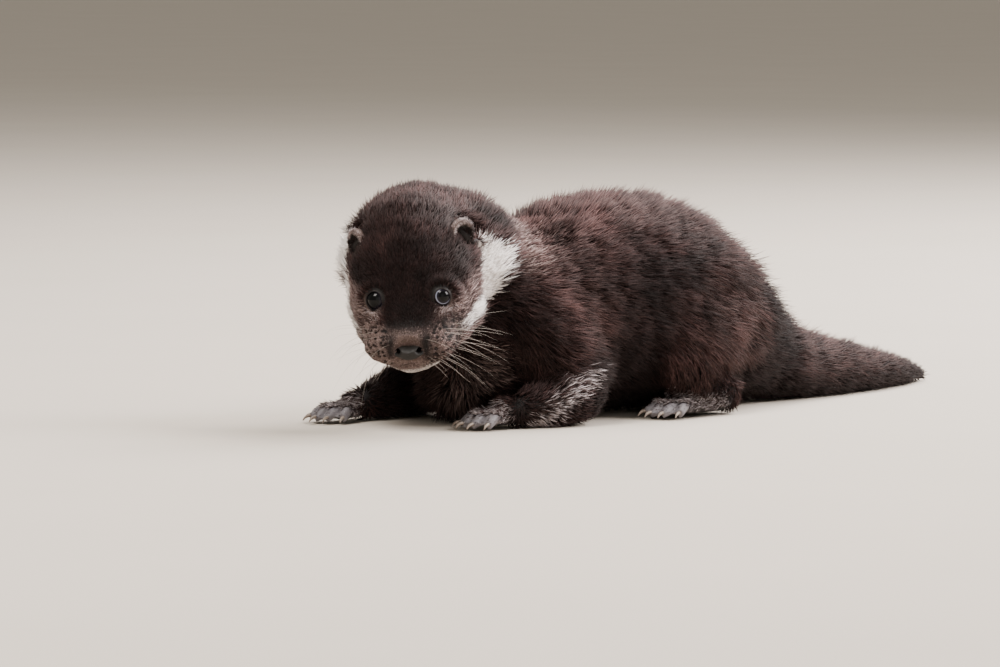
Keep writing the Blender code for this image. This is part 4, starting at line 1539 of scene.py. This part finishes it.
class Unwrap:
    """An unwrap of the skin's own shape, made on a thinned copy of it."""

    COPY_TRIANGLES = 9000
    ISLAND_ANGLE = 66.0
    ISLAND_GAP = 0.004

    def __init__(self, surface: Surface) -> None:
        """Unwraps a thinned copy of the surface and finds each point of the surface on it."""
        made = new_object("unwrap", surface.to_mesh("unwrap"))
        thin = made.modifiers.new("Thin", "DECIMATE")
        thin.ratio = self.COPY_TRIANGLES / len(surface.triangles)
        apply_modifiers(made)
        bpy.context.view_layer.objects.active = made
        made.select_set(True)
        bpy.ops.object.mode_set(mode="EDIT")
        bpy.ops.mesh.select_all(action="SELECT")
        bpy.ops.uv.smart_project(angle_limit=math.radians(self.ISLAND_ANGLE), island_margin=self.ISLAND_GAP)
        bpy.ops.object.mode_set(mode="OBJECT")
        self.surface, self.copy = surface, Surface.of_mesh(made.data)
        loops = np.zeros(len(made.data.loop_triangles) * 3, np.int32)
        made.data.loop_triangles.foreach_get("loops", loops)
        layer = np.zeros(len(made.data.loops) * 2, np.float32)
        made.data.uv_layers.active.uv.foreach_get("vector", layer)
        self.map = layer.reshape(-1, 2)[loops].reshape(-1, 3, 2)
        tree = BVHTree.FromPolygons(self.copy.points.tolist(), self.copy.triangles.tolist())
        middles = surface.points[surface.triangles].mean(axis=1)
        self.face = np.array([tree.find_nearest(Vector(middle))[2] for middle in middles])
        bpy.data.objects.remove(made)

    def at(self, host: Array, shares: Array) -> Array:
        """The map's place of points on the skin.

        Args:
            host: The triangle each point is in.
            shares: Its shares of that triangle's corners.

        Returns:
            Two map coordinates per point.
        """
        where = np.einsum("nk,nkd->nd", shares, self.surface.points[self.surface.triangles[host]])
        face = self.face[host]
        a, b, c = (self.copy.points[self.copy.triangles[face, k]] for k in range(3))
        ab, ac, ap = b - a, c - a, where - a
        d00, d01, d11 = (ab * ab).sum(1), (ab * ac).sum(1), (ac * ac).sum(1)
        d20, d21 = (ap * ab).sum(1), (ap * ac).sum(1)
        scale = np.maximum(d00 * d11 - d01 * d01, 1e-18)
        v = np.clip((d11 * d20 - d01 * d21) / scale, 0.0, 1.0)
        w = np.clip((d00 * d21 - d01 * d20) / scale, 0.0, 1.0)
        over = np.maximum(v + w, 1.0)
        v, w = v / over, w / over
        parts = np.stack([1.0 - v - w, v, w], axis=1)
        return np.einsum("nk,nkd->nd", parts, self.map[face])


# ---- The head's own pieces ----


def grid_surface(points: Array) -> Surface:
    """The surface through rows of points, each row running round to its start.

    Args:
        points: Rows by places by three.

    Returns:
        The surface, with the first and last rows left as they are.
    """
    rows, places = points.shape[:2]
    r, c = np.meshgrid(np.arange(rows - 1), np.arange(places), indexing="ij")
    after = (c + 1) % places
    a, b = r * places + c, r * places + after
    d, e = (r + 1) * places + c, (r + 1) * places + after
    triangles = np.concatenate([np.stack([a, b, e], -1).reshape(-1, 3), np.stack([a, e, d], -1).reshape(-1, 3)])
    return Surface(points.reshape(-1, 3), triangles)


def joined(surfaces: list[Surface]) -> Surface:
    """Several surfaces as one."""
    starts = np.cumsum([0] + [len(s.points) for s in surfaces[:-1]])
    return Surface(
        np.concatenate([s.points for s in surfaces]),
        np.concatenate([s.triangles + start for s, start in zip(surfaces, starts)]),
    )


def tube(line: Array, radii: Array, sides: int, loop: bool = False) -> Surface:
    """A tube along a line.

    Args:
        line: The points that it follows, in metres.
        radii: Its radius at each of them, in metres.
        sides: How many sides it has.
        loop: Whether the line closes on itself.

    Returns:
        The tube; its ends close if their radius is 0.
    """
    if loop:
        way = unit(np.roll(line, -1, axis=0) - np.roll(line, 1, axis=0))
    else:
        way = unit(np.gradient(line, axis=0))
    steady = np.array([0.0, 0.0, 1.0]) if abs(way[:, 2]).mean() < 0.8 else np.array([1.0, 0.0, 0.0])
    side = unit(np.cross(way, steady))
    up = np.cross(side, way)
    turn = np.arange(sides) / sides * math.tau
    ring = side[:, None] * np.cos(turn)[None, :, None] + up[:, None] * np.sin(turn)[None, :, None]
    points = line[:, None] + ring * radii[:, None, None]
    if loop:
        points = np.concatenate([points, points[:1]])
    return grid_surface(points)


@dataclass(frozen=True)
class CubEye:
    """A cub's eye: a wet, clear cornea, IOR 1.376, over a dark iris with a smoky blue-grey rim, partly its own colour
    and partly painted sky reflection.
    """

    pupil: str = "#050506"
    iris: str = "#15131a"
    # The iris rim: blue-grey, brightened as painted sky reflection.
    rim: str = "#7c8091"
    white: str = "#1a1516"
    fibre: float = 0.5 * MM
    wander: float = 0.012

    def material(self) -> Material:
        """The node material, drawn by the angle off the line of sight that each point carries."""
        material, tree, shader = new_finish("cub_eye")
        gaze = add_node(tree, "Attribute", {"attribute_name": "gaze"}, {}).outputs["Fac"]
        place = add_node(tree, "TexCoord", {}, {}).outputs["Object"]
        fibre = add_node(tree, "TexNoise", {}, {"Vector": place, "Scale": 1.0 / self.fibre, "Detail": 3.0}).outputs[0]
        edges = {"To Min": -self.wander, "To Max": self.wander}
        wander = add_node(tree, "MapRange", {}, {"Value": fibre} | edges).outputs[0]
        ring = add_node(tree, "Math", {"operation": "ADD"}, {0: gaze, 1: wander}).outputs[0]
        drawn = add_node(tree, "ValToRGB", {}, {0: ring})
        steps = drawn.color_ramp.elements
        stops = ((0.27, self.pupil), (0.33, self.iris), (0.41, self.iris))
        stops += ((0.455, self.rim), (0.48, self.rim), (0.52, self.white))
        for position, colour in stops:
            steps.new(position).color = linear(colour)
        steps[0].color = linear(self.pupil)
        steps[-1].color = linear(self.white)
        constants = {
            "Roughness": 0.12,
            "IOR": 1.376,
            "Specular IOR Level": 0.08,
            "Coat Weight": 0.3,
            "Coat Roughness": 0.02,
            "Coat IOR": 1.376,
        }
        feed(shader, {"Base Color": drawn.outputs[0]} | constants)
        return material


@dataclass
class Eyes:
    """Both eyeballs, each with its bulging cornea, and the moist rims of the lids."""

    eyes: list[EyeSet]
    head: HeadFrame
    rings: int = 40
    sides: int = 56
    sunk: float = 0.15
    cornea: float = 0.45
    cornea_reach: float = 34.0
    gaze: tuple[float, float, float] = (0.83, 0.0, 0.42)
    # Sets the eyes' gazes apart, and with them where each rim ring, partly painted reflection, shows.
    gaze_apart: float = 0.47
    lid_radius: float = 0.28
    lid_points: int = 72

    def build(self, ball_finish: Material, rim_finish: Material) -> None:
        """Makes the eyeballs and the lid rims.

        Args:
            ball_finish: The eyeballs' finish.
            rim_finish: The lid rims' finish.
        """
        for eye in self.eyes:
            word = "left" if eye.side > 0 else "right"
            ball = self._ball(eye).welded()
            gaze = np.clip(self._off_gaze(eye, ball) * eye.ring / 90.0, 0.0, 1.0)
            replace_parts(new_piece("eyeball_" + word, ball, "eye", ball_finish, gaze=gaze), "eye_" + word)
            new_piece("lid_rim_" + word, self._rim(eye), "nose_leather", rim_finish)

    def _gaze(self, eye: EyeSet) -> Array:
        """The line of sight in the head."""
        return unit(np.array(self.gaze) + np.array([0.0, eye.side * self.gaze_apart, 0.0]))

    def _off_gaze(self, eye: EyeSet, ball: Surface) -> Array:
        """Each point's angle off the line of sight, in degrees."""
        points = self.head.local(ball.points) - eye.middle
        return np.degrees(np.arccos(np.clip(unit(points) @ self._gaze(eye), -1.0, 1.0)))

    def _ball(self, eye: EyeSet) -> Surface:
        """A ball with its poles on the line of sight and a low bulge in front."""
        ahead = self._gaze(eye)
        side = unit(np.cross(ahead, [0.0, 0.0, 1.0]))
        up = np.cross(side, ahead)
        off = np.linspace(0.0, math.pi, self.rings + 1)[:, None]
        turn = np.arange(self.sides)[None] / self.sides * math.tau
        bulge = self.cornea * bell(np.degrees(off), 0.0, self.cornea_reach)
        far = eye.radius - self.sunk + bulge
        points = (
            ahead * (np.cos(off) * far * np.ones_like(turn))[..., None]
            + side * (np.sin(off) * np.cos(turn) * far)[..., None]
            + up * (np.sin(off) * np.sin(turn) * far)[..., None]
        )
        return grid_surface(self.head.world(eye.middle + points))

    def _rim(self, eye: EyeSet) -> Surface:
        """The edge of the lids, a thin moist rim round the opening."""
        way = np.arange(self.lid_points) / self.lid_points * math.tau
        off = np.radians(eye.opening(way) + 0.8)
        out, back, up = eye.axes()
        far = eye.radius + 0.3
        line = far * (
            out * np.cos(off)[:, None]
            + back * (np.sin(off) * np.cos(way))[:, None]
            + up * (np.sin(off) * np.sin(way))[:, None]
        )
        radii = np.full(self.lid_points, self.lid_radius * MM)
        return tube(self.head.world(eye.middle + line), radii, 8, loop=True)


@dataclass(frozen=True)
class NoseLeather:
    """Bare nose skin, damp and finely pebbled: dark grey with a soft shine."""

    name: str = "nose_leather"
    dark: str = "#0d0c0b"
    light: str = "#211e1c"
    # Painted shade: near-black inside the nostrils.
    pit: str = "#040303"
    pebble: float = 0.75 * MM
    mottle: float = 2.5 * MM
    relief: float = 0.12 * MM

    def material(self) -> Material:
        """The node material, with painted shade inside the nostrils."""
        material, tree, shader = new_finish(self.name)
        place = add_node(tree, "TexCoord", {}, {}).outputs["Object"]
        cells = {"Vector": place, "Scale": 1.0 / self.pebble}
        pebbles = add_node(tree, "TexVoronoi", {"feature": "DISTANCE_TO_EDGE"}, cells).outputs["Distance"]
        patch = add_node(tree, "TexNoise", {}, {"Vector": place, "Scale": 1.0 / self.mottle, "Detail": 3.0}).outputs[0]
        plain = add_node(tree, "Mix", COLOURS, {SHARE: patch, LOW: self.dark, HIGH: self.light}).outputs[MIXED]
        pit = add_node(tree, "Attribute", {"attribute_name": "pit"}, {}).outputs["Fac"]
        colour = add_node(tree, "Mix", COLOURS, {SHARE: pit, LOW: plain, HIGH: self.pit}).outputs[MIXED]
        rough = add_node(tree, "MapRange", {}, {"Value": patch, "To Min": 0.46, "To Max": 0.66}).outputs[0]
        # No shine in the nostrils: part of their painted shade.
        shine = add_node(tree, "MapRange", {}, {"Value": pit, "To Min": 0.34, "To Max": 0.0}).outputs[0]
        pebbled = {"Height": pebbles, "Strength": 0.6, "Distance": self.relief}
        bump = add_node(tree, "Bump", {}, pebbled).outputs[0]
        drawn = {"Base Color": colour, "Roughness": rough, "Normal": bump, "Specular IOR Level": shine}
        feed(shader, drawn | {"IOR": 1.45})
        return material


@dataclass
class Nose:
    """The nose pad: broad and flat on top, narrow below, with a comma of a nostril at each side."""

    head: HeadFrame
    radii: tuple[float, float, float] = (4.2, 7.5, 3.5)
    nostril: tuple[float, float] = (5.2, 1.2)
    nostril_size: float = 1.45
    nostril_depth: float = 2.6
    low: float = 1.9
    sunk: float = 2.5
    rings: int = 64
    sides: int = 96

    def build(self, finish: Material) -> None:
        """Makes the nose.

        Args:
            finish: Its finish.
        """
        points, pit = self._shape()
        surface = grid_surface(self.head.world(points))
        # How far each point is into a nostril, the share of painted shade there.
        dark = ramp(pit.ravel(), 0.2, 0.65)
        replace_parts(new_piece("nose_pad", surface, "nose_leather", finish, pit=dark), "nose")

    def _shape(self) -> tuple[Array, Array]:
        """The pad's rows of points in the head, and how far each is into a nostril: 0 to 1."""
        off = np.linspace(0.0, math.pi, self.rings + 1)[:, None]
        turn = np.arange(self.sides)[None] / self.sides * math.tau
        ahead = np.cos(off) * np.ones_like(turn)
        across, high = np.sin(off) * np.cos(turn), np.sin(off) * np.sin(turn)
        x = np.sign(ahead) * np.abs(ahead) ** 0.8 * self.radii[0]
        narrow = 1.0 - 0.5 * ramp(-high, 0.0, 1.0)
        y = np.sign(across) * np.abs(across) ** 0.85 * self.radii[1] * narrow
        z = np.where(high > 0, np.abs(high) ** 0.6 * 0.8, -(np.abs(high) ** 0.9) * 1.1) * self.radii[2]
        # The notch on top and the cleft below.
        z = z - 0.55 * bell(y, 0.0, 1.6) * ramp(high, 0.1, 0.7)
        x = x - 0.35 * bell(y, 0.0, 0.7) * ramp(-high, -0.3, 0.3) * ramp(ahead, 0.0, 0.4)
        # The nostrils, each a hole with a tail outwards, and the wings round them.
        dy, dz = np.abs(y) - self.nostril[0], z - self.nostril[1]
        slit_y = dy - 0.9 * ramp(dz, 0.4, -1.6)
        round_ = (slit_y / self.nostril_size) ** 2 + (dz / (self.nostril_size * 0.85)) ** 2
        tail = bell(dz + 0.5, 0.0, 0.5) * ramp(dy, 0.4, 1.4) * 0.6
        pit = np.clip(np.exp(-(round_**2)) + tail, 0, 1) * ramp(ahead, -0.2, 0.1)
        wing = 0.12 * bell(np.sqrt(round_), 1.7, 0.5) * ramp(z, -3.0, -1.0) * ramp(ahead, -0.1, 0.25)
        x = x + wing - self.nostril_depth * pit
        middle = np.array([self.head.nose[0] - self.sunk, 0.0, self.head.nose[2] - self.low])
        return np.stack([x, y, z], axis=-1) + middle, pit


@dataclass
class Ear:
    """One ear: a small round cup with a rolled rim, folds inside and fur on its rim and back.

    Its rings run from the bottom of the cup over the rim to the back. Each stands out of the ear by so many
    millimetres, and has a share of its size.
    """

    side: int
    head: HeadFrame
    place: tuple[float, float, float] = (6.3, 24.3, 16.9)
    size: tuple[float, float] = (6.6, 8.6)
    open_turn: float = 44.0
    lean: float = -12.0
    stand: tuple[float, ...] = (-1.6, -1.7, -1.2, -0.1, 1.2, 2.2, 2.7, 2.3, 1.2, -0.6, -2.6, -5.0, -7.5)
    share: tuple[float, ...] = (0.02, 0.30, 0.52, 0.68, 0.80, 0.90, 0.99, 1.08, 1.10, 1.06, 0.92, 0.72, 0.55)
    rings: int = 40
    sides: int = 56

    @property
    def middle(self) -> Array:
        """The ear's middle in the head."""
        x, y, z = self.place
        return np.array([x, self.side * y, z])

    def axes(self) -> Array:
        """Rows: out of the ear's mouth, to its front or back, and to its top, in the head."""
        turn = Matrix.Rotation(math.radians(self.side * self.open_turn), 3, "Z")
        tip = Matrix.Rotation(math.radians(self.side * self.lean), 3, "X")
        return np.array(turn @ tip).T

    def surface(self) -> tuple[Surface, Array]:
        """The ear, and how far each of its rows is from the bottom of the cup to the back.

        Returns:
            The surface in the world, and a number from 0 to 1 per point.
        """
        marks = np.linspace(0, len(self.stand) - 1, self.rings)
        ahead, reach = (np.interp(marks, np.arange(len(row)), row)[:, None] for row in (self.stand, self.share))
        turn = np.arange(self.sides)[None] / self.sides * math.tau
        front = -self.side * np.cos(turn)
        low = -np.sin(turn)
        ahead = ahead + 1.0 * ramp(front + 0.8 * low, 0.3, 1.3) * np.clip(reach, 0, 1)
        inner = ramp(marks[:, None], 6.0, 4.0)
        fold = 1.0 * bell(reach - 0.56, 0.0, 0.12) * ramp(-front - 0.2 * low, -0.2, 0.7)
        fold = fold + 1.3 * bell(reach - 0.5, 0.0, 0.16) * bell(turn - (math.pi if self.side < 0 else 0), 0.0, 0.5)
        ahead = ahead + fold * inner
        y = reach * np.cos(turn) * self.size[0]
        z = reach * np.sin(turn) * self.size[1]
        points = np.stack([ahead * np.ones_like(turn), y, z], axis=-1) @ self.axes()
        points = points + self.middle
        along = (marks / marks[-1])[:, None] * np.ones_like(turn)
        return grid_surface(self.head.world(points)), along.ravel()


@dataclass(frozen=True)
class WhiskerHorn:
    """Whiskers are stiff horn hairs, smooth and faintly clear: off-white with a soft gleam."""

    colour: str = "#d8d0c8"
    root: str = "#a3958c"

    def material(self) -> Material:
        """The node material: each whisker pales from its root to its tip."""
        material, tree, shader = new_finish("whisker_horn")
        along = add_node(tree, "Attribute", {"attribute_name": "along"}, {}).outputs["Fac"]
        colour = add_node(tree, "Mix", COLOURS, {SHARE: along, LOW: self.root, HIGH: self.colour}).outputs[MIXED]
        feed(shader, {"Base Color": colour, "Roughness": 0.35, "IOR": 1.55})
        return material


@dataclass
class Whiskers:
    """Stiff whiskers in rows on both pads, as tapered tubes."""

    skin: Skin
    head: HeadFrame
    rows: int = 5
    columns: int = 5
    thickness: float = 0.068
    taper: float = 0.18
    shortest: float = 14.0
    longest: float = 44.0
    steps: int = 12
    sides: int = 5
    seed: int = 91

    def build(self, finish: Material) -> None:
        """Makes all the whiskers as one piece.

        Args:
            finish: Their finish.
        """
        surface = self.skin.surface
        tree = BVHTree.FromPolygons(surface.points.tolist(), surface.triangles.tolist())
        rng = np.random.default_rng(self.seed)
        made, shares = [], []
        for side in (-1, 1):
            for root, way, length in self._places(side, rng):
                hit = tree.find_nearest(Vector(self.head.world(root)))[0]
                line = self._line(self.head.local(np.array(hit)[None])[0], way, length, side, rng)
                radii = np.linspace(1.0, self.taper, self.steps) * self.thickness * MM
                radii[0] = radii[-1] = 0.0
                made.append(tube(self.head.world(line), radii, self.sides))
                shares.append(np.repeat(np.linspace(0.0, 1.0, self.steps), self.sides))
        new_piece("whiskers", joined(made), "claw_horn", finish, along=np.concatenate(shares))

    def _places(self, side: int, rng: np.random.Generator) -> list[tuple[Array, Array, float]]:
        """Root, direction and length of each whisker on one side, in the head."""
        found = []
        for row in range(self.rows):
            for column in range(self.columns):
                back, low = column / (self.columns - 1), row / (self.rows - 1)
                root = np.array([52.0 - 13.0 * back, side * (9.0 + 12.0 * back), -15.5 - 12.0 * low])
                root = root + rng.normal(size=3) * 0.4
                way = np.array([0.05 - 0.75 * back, side * 0.9, -0.1 - 0.6 * low]) + rng.normal(size=3) * 0.08
                length = mix(self.shortest, self.longest, 0.25 + 0.75 * back - 0.25 * low)
                found.append((root, unit(way), float(length * rng.uniform(0.8, 1.1))))
        return found

    def _line(self, root: Array, way: Array, length: float, side: int, rng: np.random.Generator) -> Array:
        """A whisker's gently bent line, from just under the skin."""
        share = np.linspace(0.0, 1.0, self.steps)[:, None]
        bend = np.array([-0.3, -0.12 * side, -0.42 + 0.1 * rng.normal()]) * length
        return root - way * 0.8 + way * length * share + bend * share**2


@dataclass(frozen=True)
class ClawHorn:
    """A cub's claws: thin horn over the quick, dull and greyish brown with a paler tip."""

    quick: str = "#5d4d45"
    horn: str = "#988b7e"
    band: float = 1.4 * MM

    def material(self) -> Material:
        """The node material, clouded and unevenly worn."""
        material, tree, shader = new_finish("claw_horn")
        place = add_node(tree, "TexCoord", {}, {}).outputs["Object"]
        cloud = add_node(tree, "TexNoise", {}, {"Vector": place, "Scale": 1.0 / self.band, "Detail": 3.0}).outputs[0]
        colour = add_node(tree, "Mix", COLOURS, {SHARE: cloud, LOW: self.quick, HIGH: self.horn}).outputs[MIXED]
        rough = add_node(tree, "MapRange", {}, {"Value": cloud, "To Min": 0.32, "To Max": 0.5}).outputs[0]
        feed(shader, {"Base Color": colour, "Roughness": rough, "IOR": 1.55})
        return material


@dataclass
class Claws:
    """The CAD model's own claws, with their facets rounded."""

    rounding: int = 1

    def build(self, finish: Material) -> None:
        """Gives the claws their finish.

        Args:
            finish: Their finish.
        """
        claws = [thing for name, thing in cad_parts.items() if name.startswith("claw_")]
        for claw in claws:
            claw.data.materials.clear()
            claw.data.materials.append(finish)
            whole = claw.modifiers.new("Whole", "WELD")
            whole.merge_threshold = WELD
            rounded = claw.modifiers.new("Rounded", "SUBSURF")
            rounded.levels = rounded.render_levels = self.rounding
        log.info("claws: %d", len(claws))


# ---- The stage ----


def out_way(azimuth: float, elevation: float) -> Vector:
    """The direction from the cub out to an azimuth and elevation in degrees."""
    a, e = math.radians(azimuth), math.radians(elevation)
    return Vector((math.sin(a) * math.cos(e), -math.cos(a) * math.cos(e), math.sin(e)))


@dataclass(frozen=True)
class Lamp:
    """A square soft light. Lengths in metres, angles in degrees, power in watts."""

    name: str
    azimuth: float
    elevation: float
    distance: float
    size: float
    power: float
    tint: str

    def build(self, aim: Vector) -> None:
        """Hangs the light so that it points at aim."""
        data = bpy.data.lights.new(self.name, "AREA")
        data.size, data.energy, data.color = self.size, self.power, linear(self.tint)[:3]
        lamp = bpy.data.objects.new(self.name, data)
        bpy.context.scene.collection.objects.link(lamp)
        out = out_way(self.azimuth, self.elevation)
        lamp.location = aim + out * self.distance
        lamp.rotation_euler = (-out).to_track_quat("-Z", "Y").to_euler()


@dataclass
class Studio:
    """A plain pale floor, soft light and the camera. Lengths in metres, angles in degrees."""

    floor_size: float = 60.0
    floor_colour: str = "#bdb4a9"
    floor_cloud: str = "#c2b9ae"
    sky_colour: str = "#d9d4ca"
    sky_strength: float = 0.75
    azimuth: float = -38.0
    elevation: float = 4.5
    distance: float = 2.87
    lens: float = 200.0
    aim_from_eyes: tuple[float, float, float] = (0.11334, 0.0718, -0.02726)
    lamps: tuple[Lamp, ...] = (
        Lamp("key", -70.0, 58.0, 2.2, 0.8, 54.0, "#fff9f2"),
        Lamp("back", 97.0, 42.0, 2.4, 1.5, 150.0, "#fffaf8"),
        Lamp("side", 50.0, 34.0, 2.6, 1.3, 132.0, "#fffaf8"),
        Lamp("fill", -24.0, 12.0, 3.0, 2.0, 12.0, "#fffaf6"),
    )

    def build(self) -> None:
        """Makes the floor, the sky, the camera and the lights."""
        self._floor()
        self._sky()
        aim = self._camera()
        for lamp in self.lamps:
            lamp.build(aim)
        log.info("stage set")

    def _floor(self) -> None:
        """A matt pale floor with a faint unevenness."""
        bpy.ops.mesh.primitive_plane_add(size=self.floor_size)
        floor = bpy.context.object
        floor.name = "floor"
        material, tree, shader = new_finish("studio_floor")
        place = add_node(tree, "TexCoord", {}, {}).outputs["Object"]
        cloud = add_node(tree, "TexNoise", {}, {"Vector": place, "Scale": 6.0, "Detail": 2.0}).outputs[0]
        clouded = {SHARE: cloud, LOW: self.floor_colour, HIGH: self.floor_cloud}
        tone = add_node(tree, "Mix", COLOURS, clouded).outputs[MIXED]
        feed(shader, {"Base Color": tone, "Roughness": 0.9, "Specular IOR Level": 0.1})
        floor.data.materials.append(material)

    def _sky(self) -> None:
        """Even pale light from all round."""
        world = bpy.data.worlds.new("studio")
        world.use_nodes = True
        feed(world.node_tree.nodes["Background"], {"Color": self.sky_colour, "Strength": self.sky_strength})
        bpy.context.scene.world = world

    def _camera(self) -> Vector:
        """The camera, aimed by the eyes' place. Returns the point that it looks at."""
        aim = (box_middle("eye_left") + box_middle("eye_right")) / 2 + Vector(self.aim_from_eyes)
        data = bpy.data.cameras.new("camera")
        data.lens, data.sensor_width = self.lens, 36.0
        data.clip_start, data.clip_end = 0.05, 120.0
        camera = bpy.data.objects.new("camera", data)
        bpy.context.scene.collection.objects.link(camera)
        back = out_way(self.azimuth, self.elevation)
        camera.location = aim + back * self.distance
        camera.rotation_euler = (-back).to_track_quat("-Z", "Y").to_euler()
        bpy.context.scene.camera = camera
        return aim


def main() -> None:
    """Builds the cub and its stage in order."""
    logging.basicConfig(level=logging.INFO, format="%(asctime)s %(message)s", force=True)
    head = HeadFrame()
    # The right eye's rim ring, partly painted reflection, is pushed out of sight.
    eyes = [EyeSet(1, head), EyeSet(-1, head, open_wide=47.0, open_high=56.0, ring=0.6)]
    leather = NoseLeather().material()
    lid = NoseLeather(name="lid_rim", dark="#0b0707", light="#1d1414", pebble=0.4 * MM).material()
    ears = [Ear(1, head), Ear(-1, head, place=(6.3, 25.2, 14.4))]
    skin = Skin(head, eyes, ears, MouthLine(), Markings())
    skin.dress(CubSkin().material())
    unwrap = Unwrap(skin.surface)
    log.info("skin unwrapped")
    Coat(skin, unwrap).grow(OtterCoat().material())
    Eyes(eyes, head).build(CubEye().material(), lid)
    Nose(head).build(leather)
    Whiskers(skin, head).build(WhiskerHorn().material())
    Claws().build(ClawHorn().material())
    Studio().build()
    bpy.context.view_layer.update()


if __name__ == "__main__":
    main()
